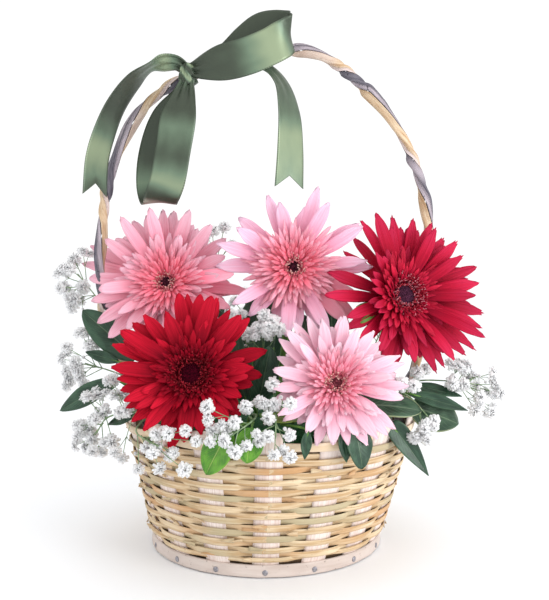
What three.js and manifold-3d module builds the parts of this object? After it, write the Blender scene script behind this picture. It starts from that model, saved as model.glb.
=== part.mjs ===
// Flower basket arrangement: double gerberas, leaves and gypsophila standing in floral foam, in a
// round basket of woven strips with a twisted arch handle and a satin bow.
// Millimetres, +Z up, the front looks along -Y, and the origin is the middle of the base's underside.
import * as THREE from 'three';
import { mergeVertices } from 'three/addons/utils/BufferGeometryUtils.js';
import Module from 'manifold-3d';

const wasm = await Module();
wasm.setup();

// Clearances
const TOUCH_GAP = 0.3;

// Basket
const STAKES = 16;
const STEPS_PER_STAKE = 2;
const BOARD_RADIUS = 78.8;
const BOARD_THICKNESS = 8;
const BAND_RADIUS = 84;
const BAND_THICKNESS = 2;
const BAND_BOTTOM = 0.8;
const BAND_TOP = 9.4;
const NAIL_HEIGHT = 4.2;
const NAIL_RADIUS = 2.2;
const NAIL_RISE = 0.7;
const WALL_THICKNESS = 2.4;
const WALL_FOOT_RADIUS = 81.6;
const WALL_FOOT_TOP = 9.6;
const WALL_RADIUS = 84.5;
const WALL_FLARE = 0.285;
const WEAVE_BOTTOM = 10.5;
const WEAVE_ROWS = 19;
const WEAVE_PITCH = 4.1;
const WEAVE_RELIEF = 1;
const RIM_STRIP = [91, 97.5];
const STAKE_TOP = 104;
const STAKE_WIDTH = 17;
const STAKE_THICKNESS = 1.4;
const FOOT_STRETCH = 6.5;
const STRETCH_TOP = 78;

// Liner and foam
const LINER_BOTTOM = BOARD_THICKNESS + TOUCH_GAP;
const LINER_TOP = 92;
const LINER_RADII = [69.5, 93.5];
const LINER_THICKNESS = 1.2;
const FOAM_TOP = 102;
const FOAM_BEVEL = 5;

// Handle: middle line of the two twisted rods in the plane of the arch, as x and z
const HANDLE_ROUTE = [
  [-89.5, 57], [-99.6, 93], [-101.6, 105], [-110, 126], [-124, 165], [-129.5, 205], [-128, 232],
  [-123.5, 266], [-114, 296], [-97, 325], [-73, 345], [-41, 357], [-8, 367], [22, 370], [42, 364],
  [72, 341], [99, 307], [114, 271], [120, 236], [119, 190], [113, 140], [101.6, 105], [99.6, 93],
  [89.5, 57],
];
const ROD_RADIUS = 2.15;
const ROD_OFFSET = 2.9;
const ROD_SIDES = 5;
const ROD_STEPS = 48;
const HANDLE_TWISTS = 9;

// Ribbon: rows of middle point, direction across the ribbon, and width
const RIBBON_WIDTH = 25;
const RIBBON_THICKNESS = 0.9;
const RIBBON_NOTCH = 9;
const KNOT_PLACE = [-61, -11.5, 349];
const KNOT_SIZE = [6.5, 5, 9];
const KNOT_RING = [5.7, 7.4, 9];
const UPPER_LOOP = [
  [-59, -12, 353, 0, 0, 1, 9], [-50, -18, 353, -0.1, 0, 1, 17], [-35, -23, 355, -0.24, -0.1, 0.97, 25],
  [-17, -25, 359, -0.21, -0.1, 0.97, 26], [0, -23, 365, -0.08, 0, 1, 26], [11, -17.5, 375, 0, 0, 1, 26],
  [15, -13.5, 379, 0, 0, 1, 25], [12.5, -10, 380.5, -0.1, 0, 1, 25], [4, -8.5, 385, -0.3, 0, 0.95, 25],
  [-7, -8, 381, -0.55, 0, 0.84, 25], [-18, -8.5, 373, -0.6, 0, 0.8, 24],
  [-31, -9, 364, -0.45, 0, 0.9, 19], [-45, -10, 358, -0.2, 0, 1, 13], [-56, -10.5, 353, 0, 0, 1, 8],
];
const HANGING_LOOP = [
  [-61, -13, 345, 1, 0, 0, 9], [-63, -20, 332, 1, 0, 0, 17], [-66, -25, 317, 1, 0, 0, 25],
  [-70, -26, 292, 1, 0, 0.05, 25], [-75, -23, 271, 1, 0, 0.1, 25], [-82, -14, 256.5, 1, 0, 0, 25],
  [-89, -5, 266, 1, 0, -0.1, 25], [-84, -4, 292, 1, 0, -0.05, 25], [-75, -8, 317, 1, 0, 0, 23],
  [-66, -11, 334, 1, 0, 0, 14], [-62, -11, 345, 1, 0, 0, 8],
];
const RIGHT_TAIL = [
  [-58, -11, 353, 0, 0, 1, 8], [-47, -13, 354, 0, 0.1, 1, 12], [-32, -15, 356, 0, 0.3, 0.95, 13],
  [-16, -16, 357, 0.1, 0.6, 0.8, 15], [-3, -15, 352, 0.5, 0.7, 0.5, 20],
  [7, -13, 341, 0.66, 0.74, 0.1, 25], [13, -13, 322, 0.68, 0.73, 0, 25],
  [15, -13, 295, 0.76, 0.65, 0, 25], [14, -13, 266, 0.84, 0.54, 0, 25],
];
const LEFT_TAIL = [
  [-62, -10, 353, 0, 0.3, -0.95, 8], [-72, -10, 358, 0, 0.85, -0.5, 12],
  [-83, -11, 356, 0.08, 0.98, -0.18, 20], [-95, -12, 348, 0.21, 0.95, -0.24, 25],
  [-108, -14, 332, 0.42, 0.87, -0.28, 25], [-120, -16, 311, 0.56, 0.78, -0.26, 25],
  [-126, -17, 292, 0.67, 0.73, -0.14, 25], [-128, -17, 260, 0.8, 0.6, -0.05, 25],
];

// Blooms
const PETAL_THICKNESS = 1.3;
const PETAL_STATIONS = [0, 0.58, 0.9, 1];
const PETAL_WIDTHS = [0, 1, 0.62, 0];
const PETAL_BOW = 0.12;
const PETAL_ROOT = 1.5;
const OUTER_LAYERS = [{ lift: 3, height: -2.4 }, { lift: 10, height: -1.4 }, { lift: 17, height: -0.4 }];
const OUTER_FLORETS = 12;
const INNER_FLORETS = 6;
const FLORET_THICKNESS = 1.1;
const CORE_BACK = -4;
const CORE_TOP = 5;
const EYE_RISE = 3;
const CALYX_RADIUS = 7;
const CALYX_LENGTH = 10;
const BLOOM_STEM_RADIUS = 2.6;
const BLOOM_STEM_DEPTH = 34;
const STEM_RISE = 4;

// Each bloom's eye, the way it faces in degrees to the right and up, and its foot on the foam.
// Petals run clockwise from twelve, as seen from the viewpoint in front of the basket: clock angle,
// reach from the eye and, where it differs, lift. A leaning bloom lifts its petals more on the right.
const VIEWPOINT = [3, -600, 210];
const BLOOMS = {
  pink_left: {
    eye: [-77, -20, 197], turn: -6, tilt: 16, root: [-46, 4], colour: 0xf2a3bd,
    core: 11, eyeRadius: 4.5, floretReach: 29, petalWidth: 9.5,
    petals: [
      [4, 53], [17, 56], [40, 54], [56, 55, -4], [66, 48], [83, 51], [96, 62, -6], [112, 52],
      [128, 48], [143, 44], [158, 42], [173, 38], [190, 44], [205, 48], [218, 46], [227, 60, 10],
      [232, 52], [240, 60], [247, 49], [255, 58], [265, 50], [273, 58], [284, 63, -15], [295, 62, -17],
      [302, 54, 12], [312, 50], [323, 57], [332, 51], [344, 52], [350, 55], [357, 54],
    ],
  },
  pink_back: {
    eye: [17, -38, 208], turn: 0, tilt: 8, root: [6, 0], colour: 0xf0a8c4,
    core: 11, eyeRadius: 4.5, floretReach: 28, petalWidth: 9,
    petals: [
      [11, 44], [18, 60], [27, 52], [55, 56], [62, 57], [85, 53, 7], [91, 57], [104, 50, 4], [117, 55, 6],
      [128, 58], [138, 57], [152, 54], [160, 48], [175, 46], [187, 51], [199, 50], [220, 48],
      [236, 52], [273, 56], [288, 58], [302, 50], [313, 53], [338, 55], [349, 48],
    ],
  },
  pink_front: {
    eye: [43, -98, 134], turn: 5, tilt: 20, root: [30, -52], colour: 0xf4b4c6,
    core: 10, eyeRadius: 4, floretReach: 24, petalWidth: 8.5,
    petals: [
      [1, 43], [8, 43], [20, 37], [35, 41], [49, 39, -8], [65, 45, -6], [75, 46, -10], [95, 47],
      [104, 45], [112, 44], [126, 49], [134, 48], [143, 46], [156, 46], [169, 42], [184, 41, 15],
      [194, 34], [200, 43], [213, 38], [225, 37], [233, 43], [241, 44], [257, 41], [267, 42],
      [282, 42], [292, 42], [305, 47], [316, 48], [326, 48], [335, 47], [345, 43],
    ],
  },
  red_left: {
    eye: [-52, -85, 138], turn: -2, tilt: 22, root: [-36, -46], colour: 0xc8102e,
    core: 13, eyeRadius: 8, floretReach: 25, petalWidth: 9.5,
    petals: [
      [0, 50], [7, 51], [13, 49], [20, 50], [30, 47], [40, 50], [47, 53], [70, 53], [82, 42],
      [88, 47], [100, 42], [113, 37], [123, 38], [132, 43], [143, 40], [160, 44], [171, 42, 17],
      [186, 46], [197, 53], [206, 42], [220, 50], [231, 51], [240, 49], [249, 48], [257, 48],
      [265, 49], [275, 54], [291, 55], [297, 50], [304, 54], [314, 50], [323, 51], [337, 44],
      [353, 51],
    ],
  },
  red_right: {
    eye: [97, -40, 188], turn: 24, tilt: 17, lean: 7, root: [64, -4], colour: 0xc8183a,
    core: 13, eyeRadius: 8, floretReach: 25, petalWidth: 9.5,
    petals: [
      [6, 56], [16, 54], [25, 52], [35, 51], [45, 53], [56, 51], [67, 54], [79, 53], [91, 52],
      [101, 57], [110, 61], [118, 65], [126, 66], [135, 61], [143, 60], [153, 60], [160, 61],
      [172, 50], [186, 54], [197, 58], [206, 46], [222, 50, 8], [238, 50], [252, 46],
      [268, 60, 5], [285, 59, 3], [302, 56, -22], [316, 58, -22], [331, 62, -10], [340, 63],
      [350, 58],
    ],
  },
};

// Leaves: each sprig's foot on the foam, its fork, and its leaves as base, tip, width and facing
const LEAF_THICKNESS = 1.2;
const LEAF_STATIONS = [0.2, 0.46, 0.78, 1];
const LEAF_WIDTHS = [0.74, 1, 0.58, 0];
const LEAF_CUP = 0.08;
const LEAF_BOW = 0.3;
const LEAF_STALK_WIDTH = 1.8;
const LEAF_STEM_RADIUS = 1.3;
const LEAF_STEM_DEPTH = 26;
const SPRIGS = {
  leaves_left_upper: {
    root: [-66, -20], fork: [-93, -22, 132],
    leaves: [
      { base: [-99, -17, 140], tip: [-140, -13, 175], width: 24, face: [0, -1, 0.2] },
      { base: [-112, -23, 138], tip: [-136, -22, 145], width: 9, face: [0, -1, 0.3] },
    ],
  },
  leaves_left_pointed: {
    root: [-72, -36], fork: [-104, -33, 122],
    leaves: [{ base: [-111, -32, 125], tip: [-153, -30, 103], width: 17, face: [0, -0.8, 0.6] }],
  },
  leaves_left_low: {
    root: [-64, -44], fork: [-86, -58, 108],
    leaves: [{ base: [-91, -60, 106], tip: [-113, -56, 98], width: 11, face: [0, -0.6, 0.8] }],
  },
  leaves_right_large: {
    root: [56, -48], fork: [55, -62, 111],
    leaves: [{ base: [57, -66, 114], tip: [102, -74, 111], width: 25, face: [0, -0.6, 0.8] }],
  },
  leaves_right_round: {
    root: [68, -30], fork: [88, -38, 113],
    leaves: [{ base: [102, -42, 115], tip: [133, -50, 97], width: 28, face: [0.1, -0.95, 0.35] }],
  },
  leaves_right_long: {
    root: [74, -14], fork: [98, -20, 112],
    leaves: [
      { base: [105, -26, 112], tip: [144, -30, 101], width: 11, face: [0.2, -0.5, 0.85] },
      { base: [104, -16, 116], tip: [141, -16, 109], width: 10, face: [0, -0.3, 0.95] },
    ],
  },
  leaves_right_hanging: {
    root: [64, -44], fork: [82, -62, 110],
    leaves: [{ base: [87, -70, 102], tip: [108, -70, 65], width: 18, face: [0.3, -0.9, 0.1] }],
  },
  leaves_front_bright: {
    root: [-14, -72], fork: [-11, -92, 107],
    leaves: [
      { base: [-25, -109, 105.5], tip: [-40, -108, 77], width: 20, face: [-0.3, -0.9, 0.1] },
      { base: [-11, -110, 107], tip: [-14, -115, 86], width: 18, face: [0, -1, 0.2] },
    ],
  },
  leaves_front_olive: {
    root: [2, -70], fork: [-6, -84, 110],
    leaves: [{ base: [-3, -96, 110], tip: [25, -91, 109], width: 11, face: [0, -0.5, 0.85] }],
  },
  leaves_front_small: {
    root: [16, -70], fork: [8, -93, 106],
    leaves: [{ base: [24, -110, 105.3], tip: [22, -113, 88], width: 7, face: [0, -1, 0] }],
  },
  leaves_front_pair: {
    root: [44, -62], fork: [47, -88, 111],
    leaves: [
      { base: [46, -103, 105.5], tip: [49, -105, 84], width: 9, face: [0.4, -1, 0] },
      { base: [54, -100, 105], tip: [58, -102, 79], width: 14, face: [0.6, -1, 0] },
    ],
  },
  leaves_middle: {
    root: [-10, -46], fork: [-12, -58, 110],
    leaves: [
      { base: [-8, -62, 114], tip: [0, -66, 154], width: 20, face: [0.2, -1, 0] },
      { base: [-15, -60, 113], tip: [-27, -58, 148], width: 16, face: [-0.3, -1, 0.1] },
    ],
  },
  leaves_inner_left: {
    root: [-16, -16], fork: [-18, -14, 122],
    leaves: [
      { base: [-22, -14, 130], tip: [-44, -12, 178], width: 24, face: [-0.2, -1, 0] },
      { base: [-14, -14, 130], tip: [-8, -10, 190], width: 30, face: [0.1, -1, 0] },
    ],
  },
  leaves_inner_right: {
    root: [38, -14], fork: [42, -16, 118],
    leaves: [
      { base: [38, -16, 124], tip: [24, -14, 172], width: 26, face: [-0.1, -1, 0] },
      { base: [50, -18, 122], tip: [76, -20, 148], width: 20, face: [0.2, -1, 0.2] },
    ],
  },
  leaves_back_left: {
    root: [-46, 46], fork: [-54, 58, 116],
    leaves: [
      { base: [-60, 62, 120], tip: [-104, 78, 138], width: 26, face: [-0.3, 0.5, 0.8] },
      { base: [-54, 64, 120], tip: [-62, 112, 124], width: 28, face: [-0.2, 0.5, 0.9] },
      { base: [-48, 62, 122], tip: [-44, 66, 176], width: 28, face: [-0.2, 1, 0.1] },
    ],
  },
  leaves_back_middle: {
    root: [2, 52], fork: [2, 62, 116],
    leaves: [
      { base: [-6, 66, 120], tip: [-18, 118, 118], width: 28, face: [0, 0.4, 0.9] },
      { base: [10, 66, 120], tip: [26, 116, 122], width: 26, face: [0, 0.4, 0.9] },
      { base: [2, 62, 124], tip: [4, 58, 186], width: 30, face: [0, 1, 0.1] },
    ],
  },
  leaves_back_right: {
    root: [50, 44], fork: [58, 54, 116],
    leaves: [
      { base: [64, 58, 120], tip: [106, 76, 132], width: 26, face: [0.3, 0.5, 0.8] },
      { base: [58, 60, 121], tip: [66, 108, 122], width: 26, face: [0.2, 0.5, 0.9] },
      { base: [52, 56, 124], tip: [50, 52, 178], width: 28, face: [0.2, 1, 0.1] },
    ],
  },
};

// Gypsophila: each spray's foot on the foam, its chain of forks, and the middles of its florets
const FLORET_RADIUS = 4;
const FLORET_PETALS = 3;
const FLORET_NOTCH = 0.3;
const FLORET_DEPTH = 2.6;
const SPRAY_STEM_RADIUS = 1.1;
const SPRAY_STEM_DEPTH = 26;
const TWIG_RADIUS = 0.75;
const TWIG_SLANT = 0.6;
const SPRAYS = {
  gypsophila_left_upper: {
    root: [-74, 16], forks: [[-112, 18, 150], [-136, 15, 184], [-150, 14, 202]],
    florets: [
      [-146, 14, 220], [-154, 16, 214], [-156, 10, 206], [-166, 14, 203], [-163, 9, 191],
      [-160, 18, 189], [-146, 12, 192], [-151, 10, 183], [-155, 12, 176],
    ],
  },
  gypsophila_left_middle: {
    root: [-76, -6], forks: [[-112, -18, 128], [-138, -16, 136]],
    florets: [
      [-142, -14, 159], [-134, -16, 150], [-152, -16, 148], [-157, -12, 139], [-145, -20, 137],
      [-153, -14, 130], [-142, -19, 126], [-153, -14, 119],
    ],
  },
  gypsophila_left_low: {
    root: [-62, -56], forks: [[-90, -72, 110], [-112, -62, 104], [-121, -54, 92]],
    florets: [
      [-112, -45, 128], [-107, -54, 119], [-122, -46, 117], [-132, -42, 116], [-102, -68, 109],
      [-115, -58, 107], [-124, -52, 101], [-134, -45, 95], [-125, -52, 87], [-131, -46, 79],
      [-117, -58, 79], [-108, -66, 88], [-99, -76, 79],
    ],
  },
  gypsophila_front_left: {
    root: [-50, -58], forks: [[-80, -71, 107], [-87, -91, 101], [-70, -109, 95]],
    florets: [
      [-71, -108, 103], [-63, -112, 104], [-52, -114, 106], [-45, -116, 100], [-79, -96, 91],
      [-72, -102, 92], [-60, -108, 91], [-70, -103, 79], [-53, -112, 81], [-86, -88, 75],
    ],
  },
  gypsophila_front_middle: {
    root: [-12, -60], forks: [[-9, -84, 110], [-12, -113, 111], [-24, -120, 104]],
    florets: [
      [-39, -114, 121], [-30, -115, 110], [-22, -117, 112], [-37, -118, 100], [-28, -120, 101],
      [-21, -121, 94], [-14, -120, 98], [-15, -108, 120],
    ],
  },
  gypsophila_front_right: {
    root: [12, -60], forks: [[4, -84, 116], [4, -110, 116], [4, -118, 103]],
    florets: [
      [-4, -108, 122], [3, -110, 122], [-1, -114, 114], [-8, -120, 105], [-1, -121, 104],
      [13, -118, 124], [13, -118, 104], [3, -120, 92], [13, -118, 90], [2, -98, 133],
    ],
  },
  gypsophila_right_upper: {
    root: [76, -4], forks: [[106, -16, 122], [128, -24, 124], [150, -22, 121]],
    florets: [
      [140, -20, 134], [148, -14, 135], [152, -18, 127], [142, -28, 122], [132, -32, 123],
      [167, -16, 129], [166, -24, 121], [161, -16, 114], [172, -20, 113], [153, -32, 113],
      [149, -34, 104], [162, -30, 101], [107, -31, 131],
    ],
  },
  gypsophila_right_low: {
    root: [72, -42], forks: [[92, -56, 120], [108, -66, 106]],
    florets: [[112, -68, 103], [104, -74, 99], [106, -74, 91], [88, -78, 130]],
  },
  gypsophila_middle: {
    root: [-2, -34], forks: [[-6, -50, 128], [-4, -56, 156]],
    florets: [[-15, -58, 162], [-8, -60, 165], [-4, -54, 174], [6, -66, 166], [-27, -42, 174]],
  },
  gypsophila_behind: {
    root: [-30, 24], forks: [[-40, 28, 170], [-46, 26, 218]],
    florets: [[-46, 24, 236], [-62, 24, 229], [-36, 26, 240], [-54, 30, 222], [-30, 30, 226]],
  },
  gypsophila_back_left: {
    root: [-66, 30], forks: [[-84, 50, 140], [-94, 58, 162]],
    florets: [
      [-104, 58, 172], [-92, 66, 176], [-82, 58, 180], [-112, 66, 160], [-98, 74, 162],
      [-108, 52, 154], [-86, 74, 154], [-118, 56, 148],
    ],
  },
  gypsophila_back_right: {
    root: [66, 28], forks: [[84, 44, 140], [94, 52, 160]],
    florets: [
      [104, 52, 170], [92, 60, 174], [82, 52, 178], [112, 60, 158], [98, 68, 160], [108, 46, 152],
      [86, 68, 152], [118, 50, 146],
    ],
  },
  gypsophila_back_middle: {
    root: [-22, 40], forks: [[-22, 62, 150], [-22, 70, 172]],
    florets: [
      [-22, 72, 186], [-32, 76, 178], [-12, 76, 178], [-26, 84, 168], [-14, 84, 166], [-36, 66, 168],
      [-8, 66, 188],
    ],
  },
};

// Colours, roughness and metalness
const FINISHES = {
  board: { color: 0xcdb79a, roughness: 0.8 },
  band: { color: 0xe3d3c6, roughness: 0.75 },
  weave: { color: 0xc9a877, roughness: 0.7 },
  liner: { color: 0x2c3a30, roughness: 0.45 },
  foam: { color: 0x2f5b3c, roughness: 0.95 },
  bark: { color: 0x6f6660, roughness: 0.85 },
  peeled: { color: 0xd8b98f, roughness: 0.7 },
  ribbon: { color: 0x6f8a72, roughness: 0.35 },
  eye: { color: 0x1e1420, roughness: 0.9 },
  stem: { color: 0x6d8f4a, roughness: 0.6 },
  leaf: { color: 0x2f5a38, roughness: 0.4 },
  brightLeaf: { color: 0x5fa02a, roughness: 0.35 },
  gypsophila: { color: 0xf2f3ee, roughness: 0.8 },
};

const point = (coordinates) => new THREE.Vector3(...coordinates);
const radians = THREE.MathUtils.degToRad;

// A repeatable number between 0 and 1 for the i-th piece of a family
function wobble(i, family) {
  const value = Math.sin(i * 12.9898 + family * 78.233) * 43758.5453;
  return value - Math.floor(value);
}

// Geometry and solids

function geometryFrom(vertices, triangles) {
  const geometry = new THREE.BufferGeometry().setFromPoints(vertices);
  geometry.setIndex(triangles.flat());
  return geometry;
}

// The volume inside a closed geometry, negative where its faces point inwards
function signedVolume(position, index) {
  const corner = (i) => new THREE.Vector3().fromBufferAttribute(position, index[i]);
  let volume = 0;
  for (let i = 0; i < index.length; i += 3) {
    volume += corner(i).dot(corner(i + 1).cross(corner(i + 2))) / 6;
  }
  return volume;
}

// A closed geometry as a solid that can be joined and cut
function solidOf(geometry) {
  geometry.deleteAttribute('normal');
  geometry.deleteAttribute('uv');
  const merged = mergeVertices(geometry, 1e-4);
  const position = merged.getAttribute('position');
  const index = [];
  for (let i = 0; i < merged.index.count; i += 3) {
    const [a, b, c] = merged.index.array.slice(i, i + 3);
    if (a !== b && b !== c && c !== a) index.push(a, b, c);
  }
  if (signedVolume(position, index) < 0) index.reverse();
  return new wasm.Manifold(new wasm.Mesh({
    numProp: 3, vertProperties: position.array, triVerts: new Uint32Array(index),
  }));
}

const join = (geometries) => wasm.Manifold.union(geometries.map(solidOf));

function mesh(name, solid, finish) {
  const { vertProperties, triVerts } = solid.getMesh();
  const geometry = new THREE.BufferGeometry();
  geometry.setAttribute('position', new THREE.BufferAttribute(vertProperties, 3));
  geometry.setIndex(new THREE.BufferAttribute(triVerts, 1));
  geometry.computeVertexNormals();
  const piece = new THREE.Mesh(geometry, new THREE.MeshStandardMaterial({ metalness: 0, ...finish }));
  piece.name = name;
  return piece;
}

// Skins a closed body over rings of points. The first and last ring may be one point, and wider
// end rings get flat caps. A ring may have as many points as the one before, or twice as many.
function skin(rings) {
  const triangles = [];
  let start = 0;
  rings.slice(1).forEach((next, i) => {
    const ring = rings[i];
    const after = start + ring.length;
    const doubled = ring.length > 1 && next.length === 2 * ring.length;
    const count = doubled ? ring.length : Math.max(ring.length, next.length);
    for (let k = 0; k < count; k += 1) {
      const a = start + (k % ring.length);
      const b = start + ((k + 1) % ring.length);
      if (doubled) {
        const [c, d, e] = [2 * k, 2 * k + 1, 2 * k + 2].map((n) => after + (n % next.length));
        triangles.push([a, b, d], [a, d, c], [b, e, d]);
      } else {
        const c = after + (k % next.length);
        const d = after + ((k + 1) % next.length);
        if (ring.length > 1) triangles.push([a, b, d]);
        if (next.length > 1) triangles.push([a, d, c]);
      }
    }
    start = after;
  });
  triangles.push(...cap(rings[0].length).map(([a, b, c]) => [a, c, b]));
  triangles.push(...cap(rings.at(-1).length).map((corners) => corners.map((k) => start + k)));
  return geometryFrom(rings.flat(), triangles);
}

// Fills a ring with triangles that run to and fro between its two sides, so a notch stays open
function cap(count) {
  const triangles = [];
  for (let low = 0, high = count - 1; high - low > 1; low += 1, high -= 1) {
    triangles.push([low, low + 1, high]);
    if (high - low > 2) triangles.push([low + 1, high - 1, high]);
  }
  return triangles;
}

// Skins rings whose last joins the first again, as round a shell
function closedSkin(rings) {
  const count = rings[0].length;
  const triangles = [];
  rings.forEach((_, i) => {
    const j = (i + 1) % rings.length;
    for (let k = 0; k < count; k += 1) {
      const n = (k + 1) % count;
      triangles.push([i * count + k, i * count + n, j * count + n]);
      triangles.push([i * count + k, j * count + n, j * count + k]);
    }
  });
  return geometryFrom(rings.flat(), triangles);
}

// A ring of points round a line's direction; its first point looks along lead
function ringAround(middle, along, lead, radius, sides) {
  const side = new THREE.Vector3().crossVectors(along, lead).normalize();
  const front = new THREE.Vector3().crossVectors(side, along).normalize();
  return Array.from({ length: sides }, (_, i) => {
    const angle = (i / sides) * 2 * Math.PI;
    return middle.clone()
      .addScaledVector(front, radius * Math.cos(angle))
      .addScaledVector(side, radius * Math.sin(angle));
  });
}

// A stalk of one radius through a few points
function stalk(points, radius, sides) {
  const run = points.at(-1).clone().sub(points[0]).normalize();
  const lead = Math.abs(run.y) < 0.7 ? new THREE.Vector3(0, 1, 0) : new THREE.Vector3(1, 0, 0);
  return skin(points.map((middle, i) => {
    const after = points[Math.min(i + 1, points.length - 1)];
    const along = after.clone().sub(points[Math.max(i - 1, 0)]).normalize();
    return ringAround(middle, along, lead, radius, sides);
  }));
}

// A thin blade along a spine, flat or hollow in front with a keel behind: its sections are
// triangles, and it is pointed where its width is nothing
function blade(spine, widths, across, thickness, cup) {
  return skin(spine.map((middle, i) => {
    if (widths[i] === 0) return [middle];
    const before = spine[Math.max(i - 1, 0)];
    const after = spine[Math.min(i + 1, spine.length - 1)];
    const along = after.clone().sub(before).normalize();
    const up = new THREE.Vector3().crossVectors(across, along).normalize();
    const beside = new THREE.Vector3().crossVectors(along, up);
    const edge = (side) => middle.clone()
      .addScaledVector(beside, (side * widths[i]) / 2)
      .addScaledVector(up, cup * widths[i]);
    return [edge(-1), edge(1), middle.clone().addScaledVector(up, -thickness)];
  }));
}

// A body turned round Z from a profile of radius and height, which starts and ends on the axis
// or closes on itself
function turned(profile, segments) {
  const outline = profile.map(([radius, height]) => new THREE.Vector2(radius, height));
  return new THREE.LatheGeometry(outline, segments).rotateX(Math.PI / 2);
}

// Basket

const WALL_STEPS = STAKES * STEPS_PER_STAKE;
const wallRadius = (height) => WALL_RADIUS + WALL_FLARE * (height - WEAVE_BOTTOM);

// Draws the foot out to the left, as on the real basket, which isn't quite round there
function stretched(geometry) {
  const position = geometry.getAttribute('position');
  for (let i = 0; i < position.count; i += 1) {
    const share = Math.max(0, 1 - position.getZ(i) / STRETCH_TOP);
    const x = position.getX(i);
    position.setX(i, x - (FOOT_STRETCH * share * (1 - x / BAND_RADIUS)) / 2);
  }
  return geometry;
}

function baseBoard() {
  const profile = [[0, 0], [BOARD_RADIUS, 0], [BOARD_RADIUS, BOARD_THICKNESS], [0, BOARD_THICKNESS]];
  return solidOf(stretched(turned(profile, WALL_STEPS)));
}

// The band over the stakes' feet, with one round nail head per stake fused on
function baseBand() {
  const inner = BAND_RADIUS - BAND_THICKNESS;
  const ring = turned([
    [inner, BAND_BOTTOM], [BAND_RADIUS, BAND_BOTTOM], [BAND_RADIUS, BAND_TOP], [inner, BAND_TOP],
    [inner, BAND_BOTTOM],
  ], WALL_STEPS);
  const nails = Array.from({ length: STAKES }, (_, i) => {
    const angle = (i / STAKES) * 2 * Math.PI;
    const outward = new THREE.Vector3(Math.sin(angle), -Math.cos(angle), 0);
    const middle = new THREE.Vector3(0, 0, NAIL_HEIGHT);
    const from = middle.clone().addScaledVector(outward, BAND_RADIUS - 1);
    const to = middle.clone().addScaledVector(outward, BAND_RADIUS + NAIL_RISE);
    return stalk([from, to], NAIL_RADIUS, 4);
  });
  return join([ring, ...nails].map(stretched));
}

// The woven shell: strips pass over and under every other stake, so the outside stands out and
// in by turns, row by row and stake by stake
function wovenWall() {
  const ring = (height, radiusOf) => Array.from({ length: WALL_STEPS }, (_, k) => {
    const angle = (k / WALL_STEPS) * 2 * Math.PI;
    const radius = radiusOf(k);
    return new THREE.Vector3(radius * Math.sin(angle), -radius * Math.cos(angle), height);
  });
  const plain = (height, radius) => ring(height, () => radius);
  const rings = [
    plain(BAND_BOTTOM + TOUCH_GAP, WALL_FOOT_RADIUS),
    plain(WALL_FOOT_TOP, WALL_FOOT_RADIUS),
  ];
  for (let row = 0; row < WEAVE_ROWS; row += 1) {
    const height = WEAVE_BOTTOM + (row + 0.5) * WEAVE_PITCH;
    rings.push(ring(height, (k) => {
      const between = k % STEPS_PER_STAKE === 1;
      const over = (Math.floor(k / STEPS_PER_STAKE) + row) % 2 === 0;
      const relief = over ? WEAVE_RELIEF : -0.6 * WEAVE_RELIEF;
      return wallRadius(height) + (between ? 0 : relief);
    }));
  }
  const gapHeight = RIM_STRIP[0] - 1.2;
  rings.push(plain(gapHeight, wallRadius(gapHeight) - 0.6 * WEAVE_RELIEF));
  for (const height of RIM_STRIP) {
    rings.push(plain(height, wallRadius(height) + WEAVE_RELIEF));
  }
  const top = RIM_STRIP[1];
  const bend = WEAVE_BOTTOM + 2;
  rings.push(plain(top, wallRadius(top) - WALL_THICKNESS));
  rings.push(plain(bend, wallRadius(bend) - WALL_THICKNESS));
  rings.push(plain(WALL_FOOT_TOP, WALL_FOOT_RADIUS - WALL_THICKNESS));
  rings.push(plain(BAND_BOTTOM + TOUCH_GAP, WALL_FOOT_RADIUS - WALL_THICKNESS));
  return join([stretched(closedSkin(rings)), ...stakeTops()]);
}

function stakeTops() {
  const low = RIM_STRIP[1] - 2;
  return Array.from({ length: STAKES }, (_, i) => {
    const box = new THREE.BoxGeometry(STAKE_WIDTH, STAKE_THICKNESS, STAKE_TOP - low);
    box.translate(0, -wallRadius(RIM_STRIP[1]) + WALL_THICKNESS / 2, (STAKE_TOP + low) / 2);
    return box.rotateZ((i / STAKES) * 2 * Math.PI);
  });
}

// Liner and foam

function linerTub() {
  const [low, high] = LINER_RADII;
  const thick = LINER_THICKNESS;
  return solidOf(turned([
    [0, LINER_BOTTOM], [low, LINER_BOTTOM], [high, LINER_TOP], [high - thick, LINER_TOP],
    [low - thick, LINER_BOTTOM + thick], [0, LINER_BOTTOM + thick],
  ], 24));
}

// The foam block, with one straight hole per stem that stands in it
function floralFoam(stems) {
  const [low, high] = LINER_RADII;
  const bottom = LINER_BOTTOM + LINER_THICKNESS + TOUCH_GAP;
  const side = LINER_THICKNESS + 1;
  const block = turned([
    [0, bottom], [low - side, bottom], [high - side, LINER_TOP], [high - side, FOAM_TOP - FOAM_BEVEL],
    [high - side - FOAM_BEVEL, FOAM_TOP], [0, FOAM_TOP],
  ], 24);
  const holes = stems.map(({ root, depth, radius }) => {
    const below = new THREE.Vector3(...root, FOAM_TOP - depth - TOUCH_GAP);
    const above = new THREE.Vector3(...root, FOAM_TOP + 5);
    const sides = radius > 2 ? 5 : 4;
    return stalk([below, above], (radius + TOUCH_GAP) / Math.cos(Math.PI / sides), sides);
  });
  return solidOf(block).subtract(join(holes));
}

// Handle

class TwistedRod extends THREE.Curve {
  constructor(route, phase) {
    super();
    this.route = route;
    this.phase = phase;
  }

  getPoint(t) {
    const middle = this.route.getPointAt(t);
    const along = this.route.getTangentAt(t);
    const angle = 2 * Math.PI * HANDLE_TWISTS * t + this.phase;
    const outward = new THREE.Vector3(-along.z, 0, along.x);
    return middle
      .addScaledVector(outward, ROD_OFFSET * Math.cos(angle))
      .add(new THREE.Vector3(0, ROD_OFFSET * Math.sin(angle), 0));
  }
}

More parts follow.
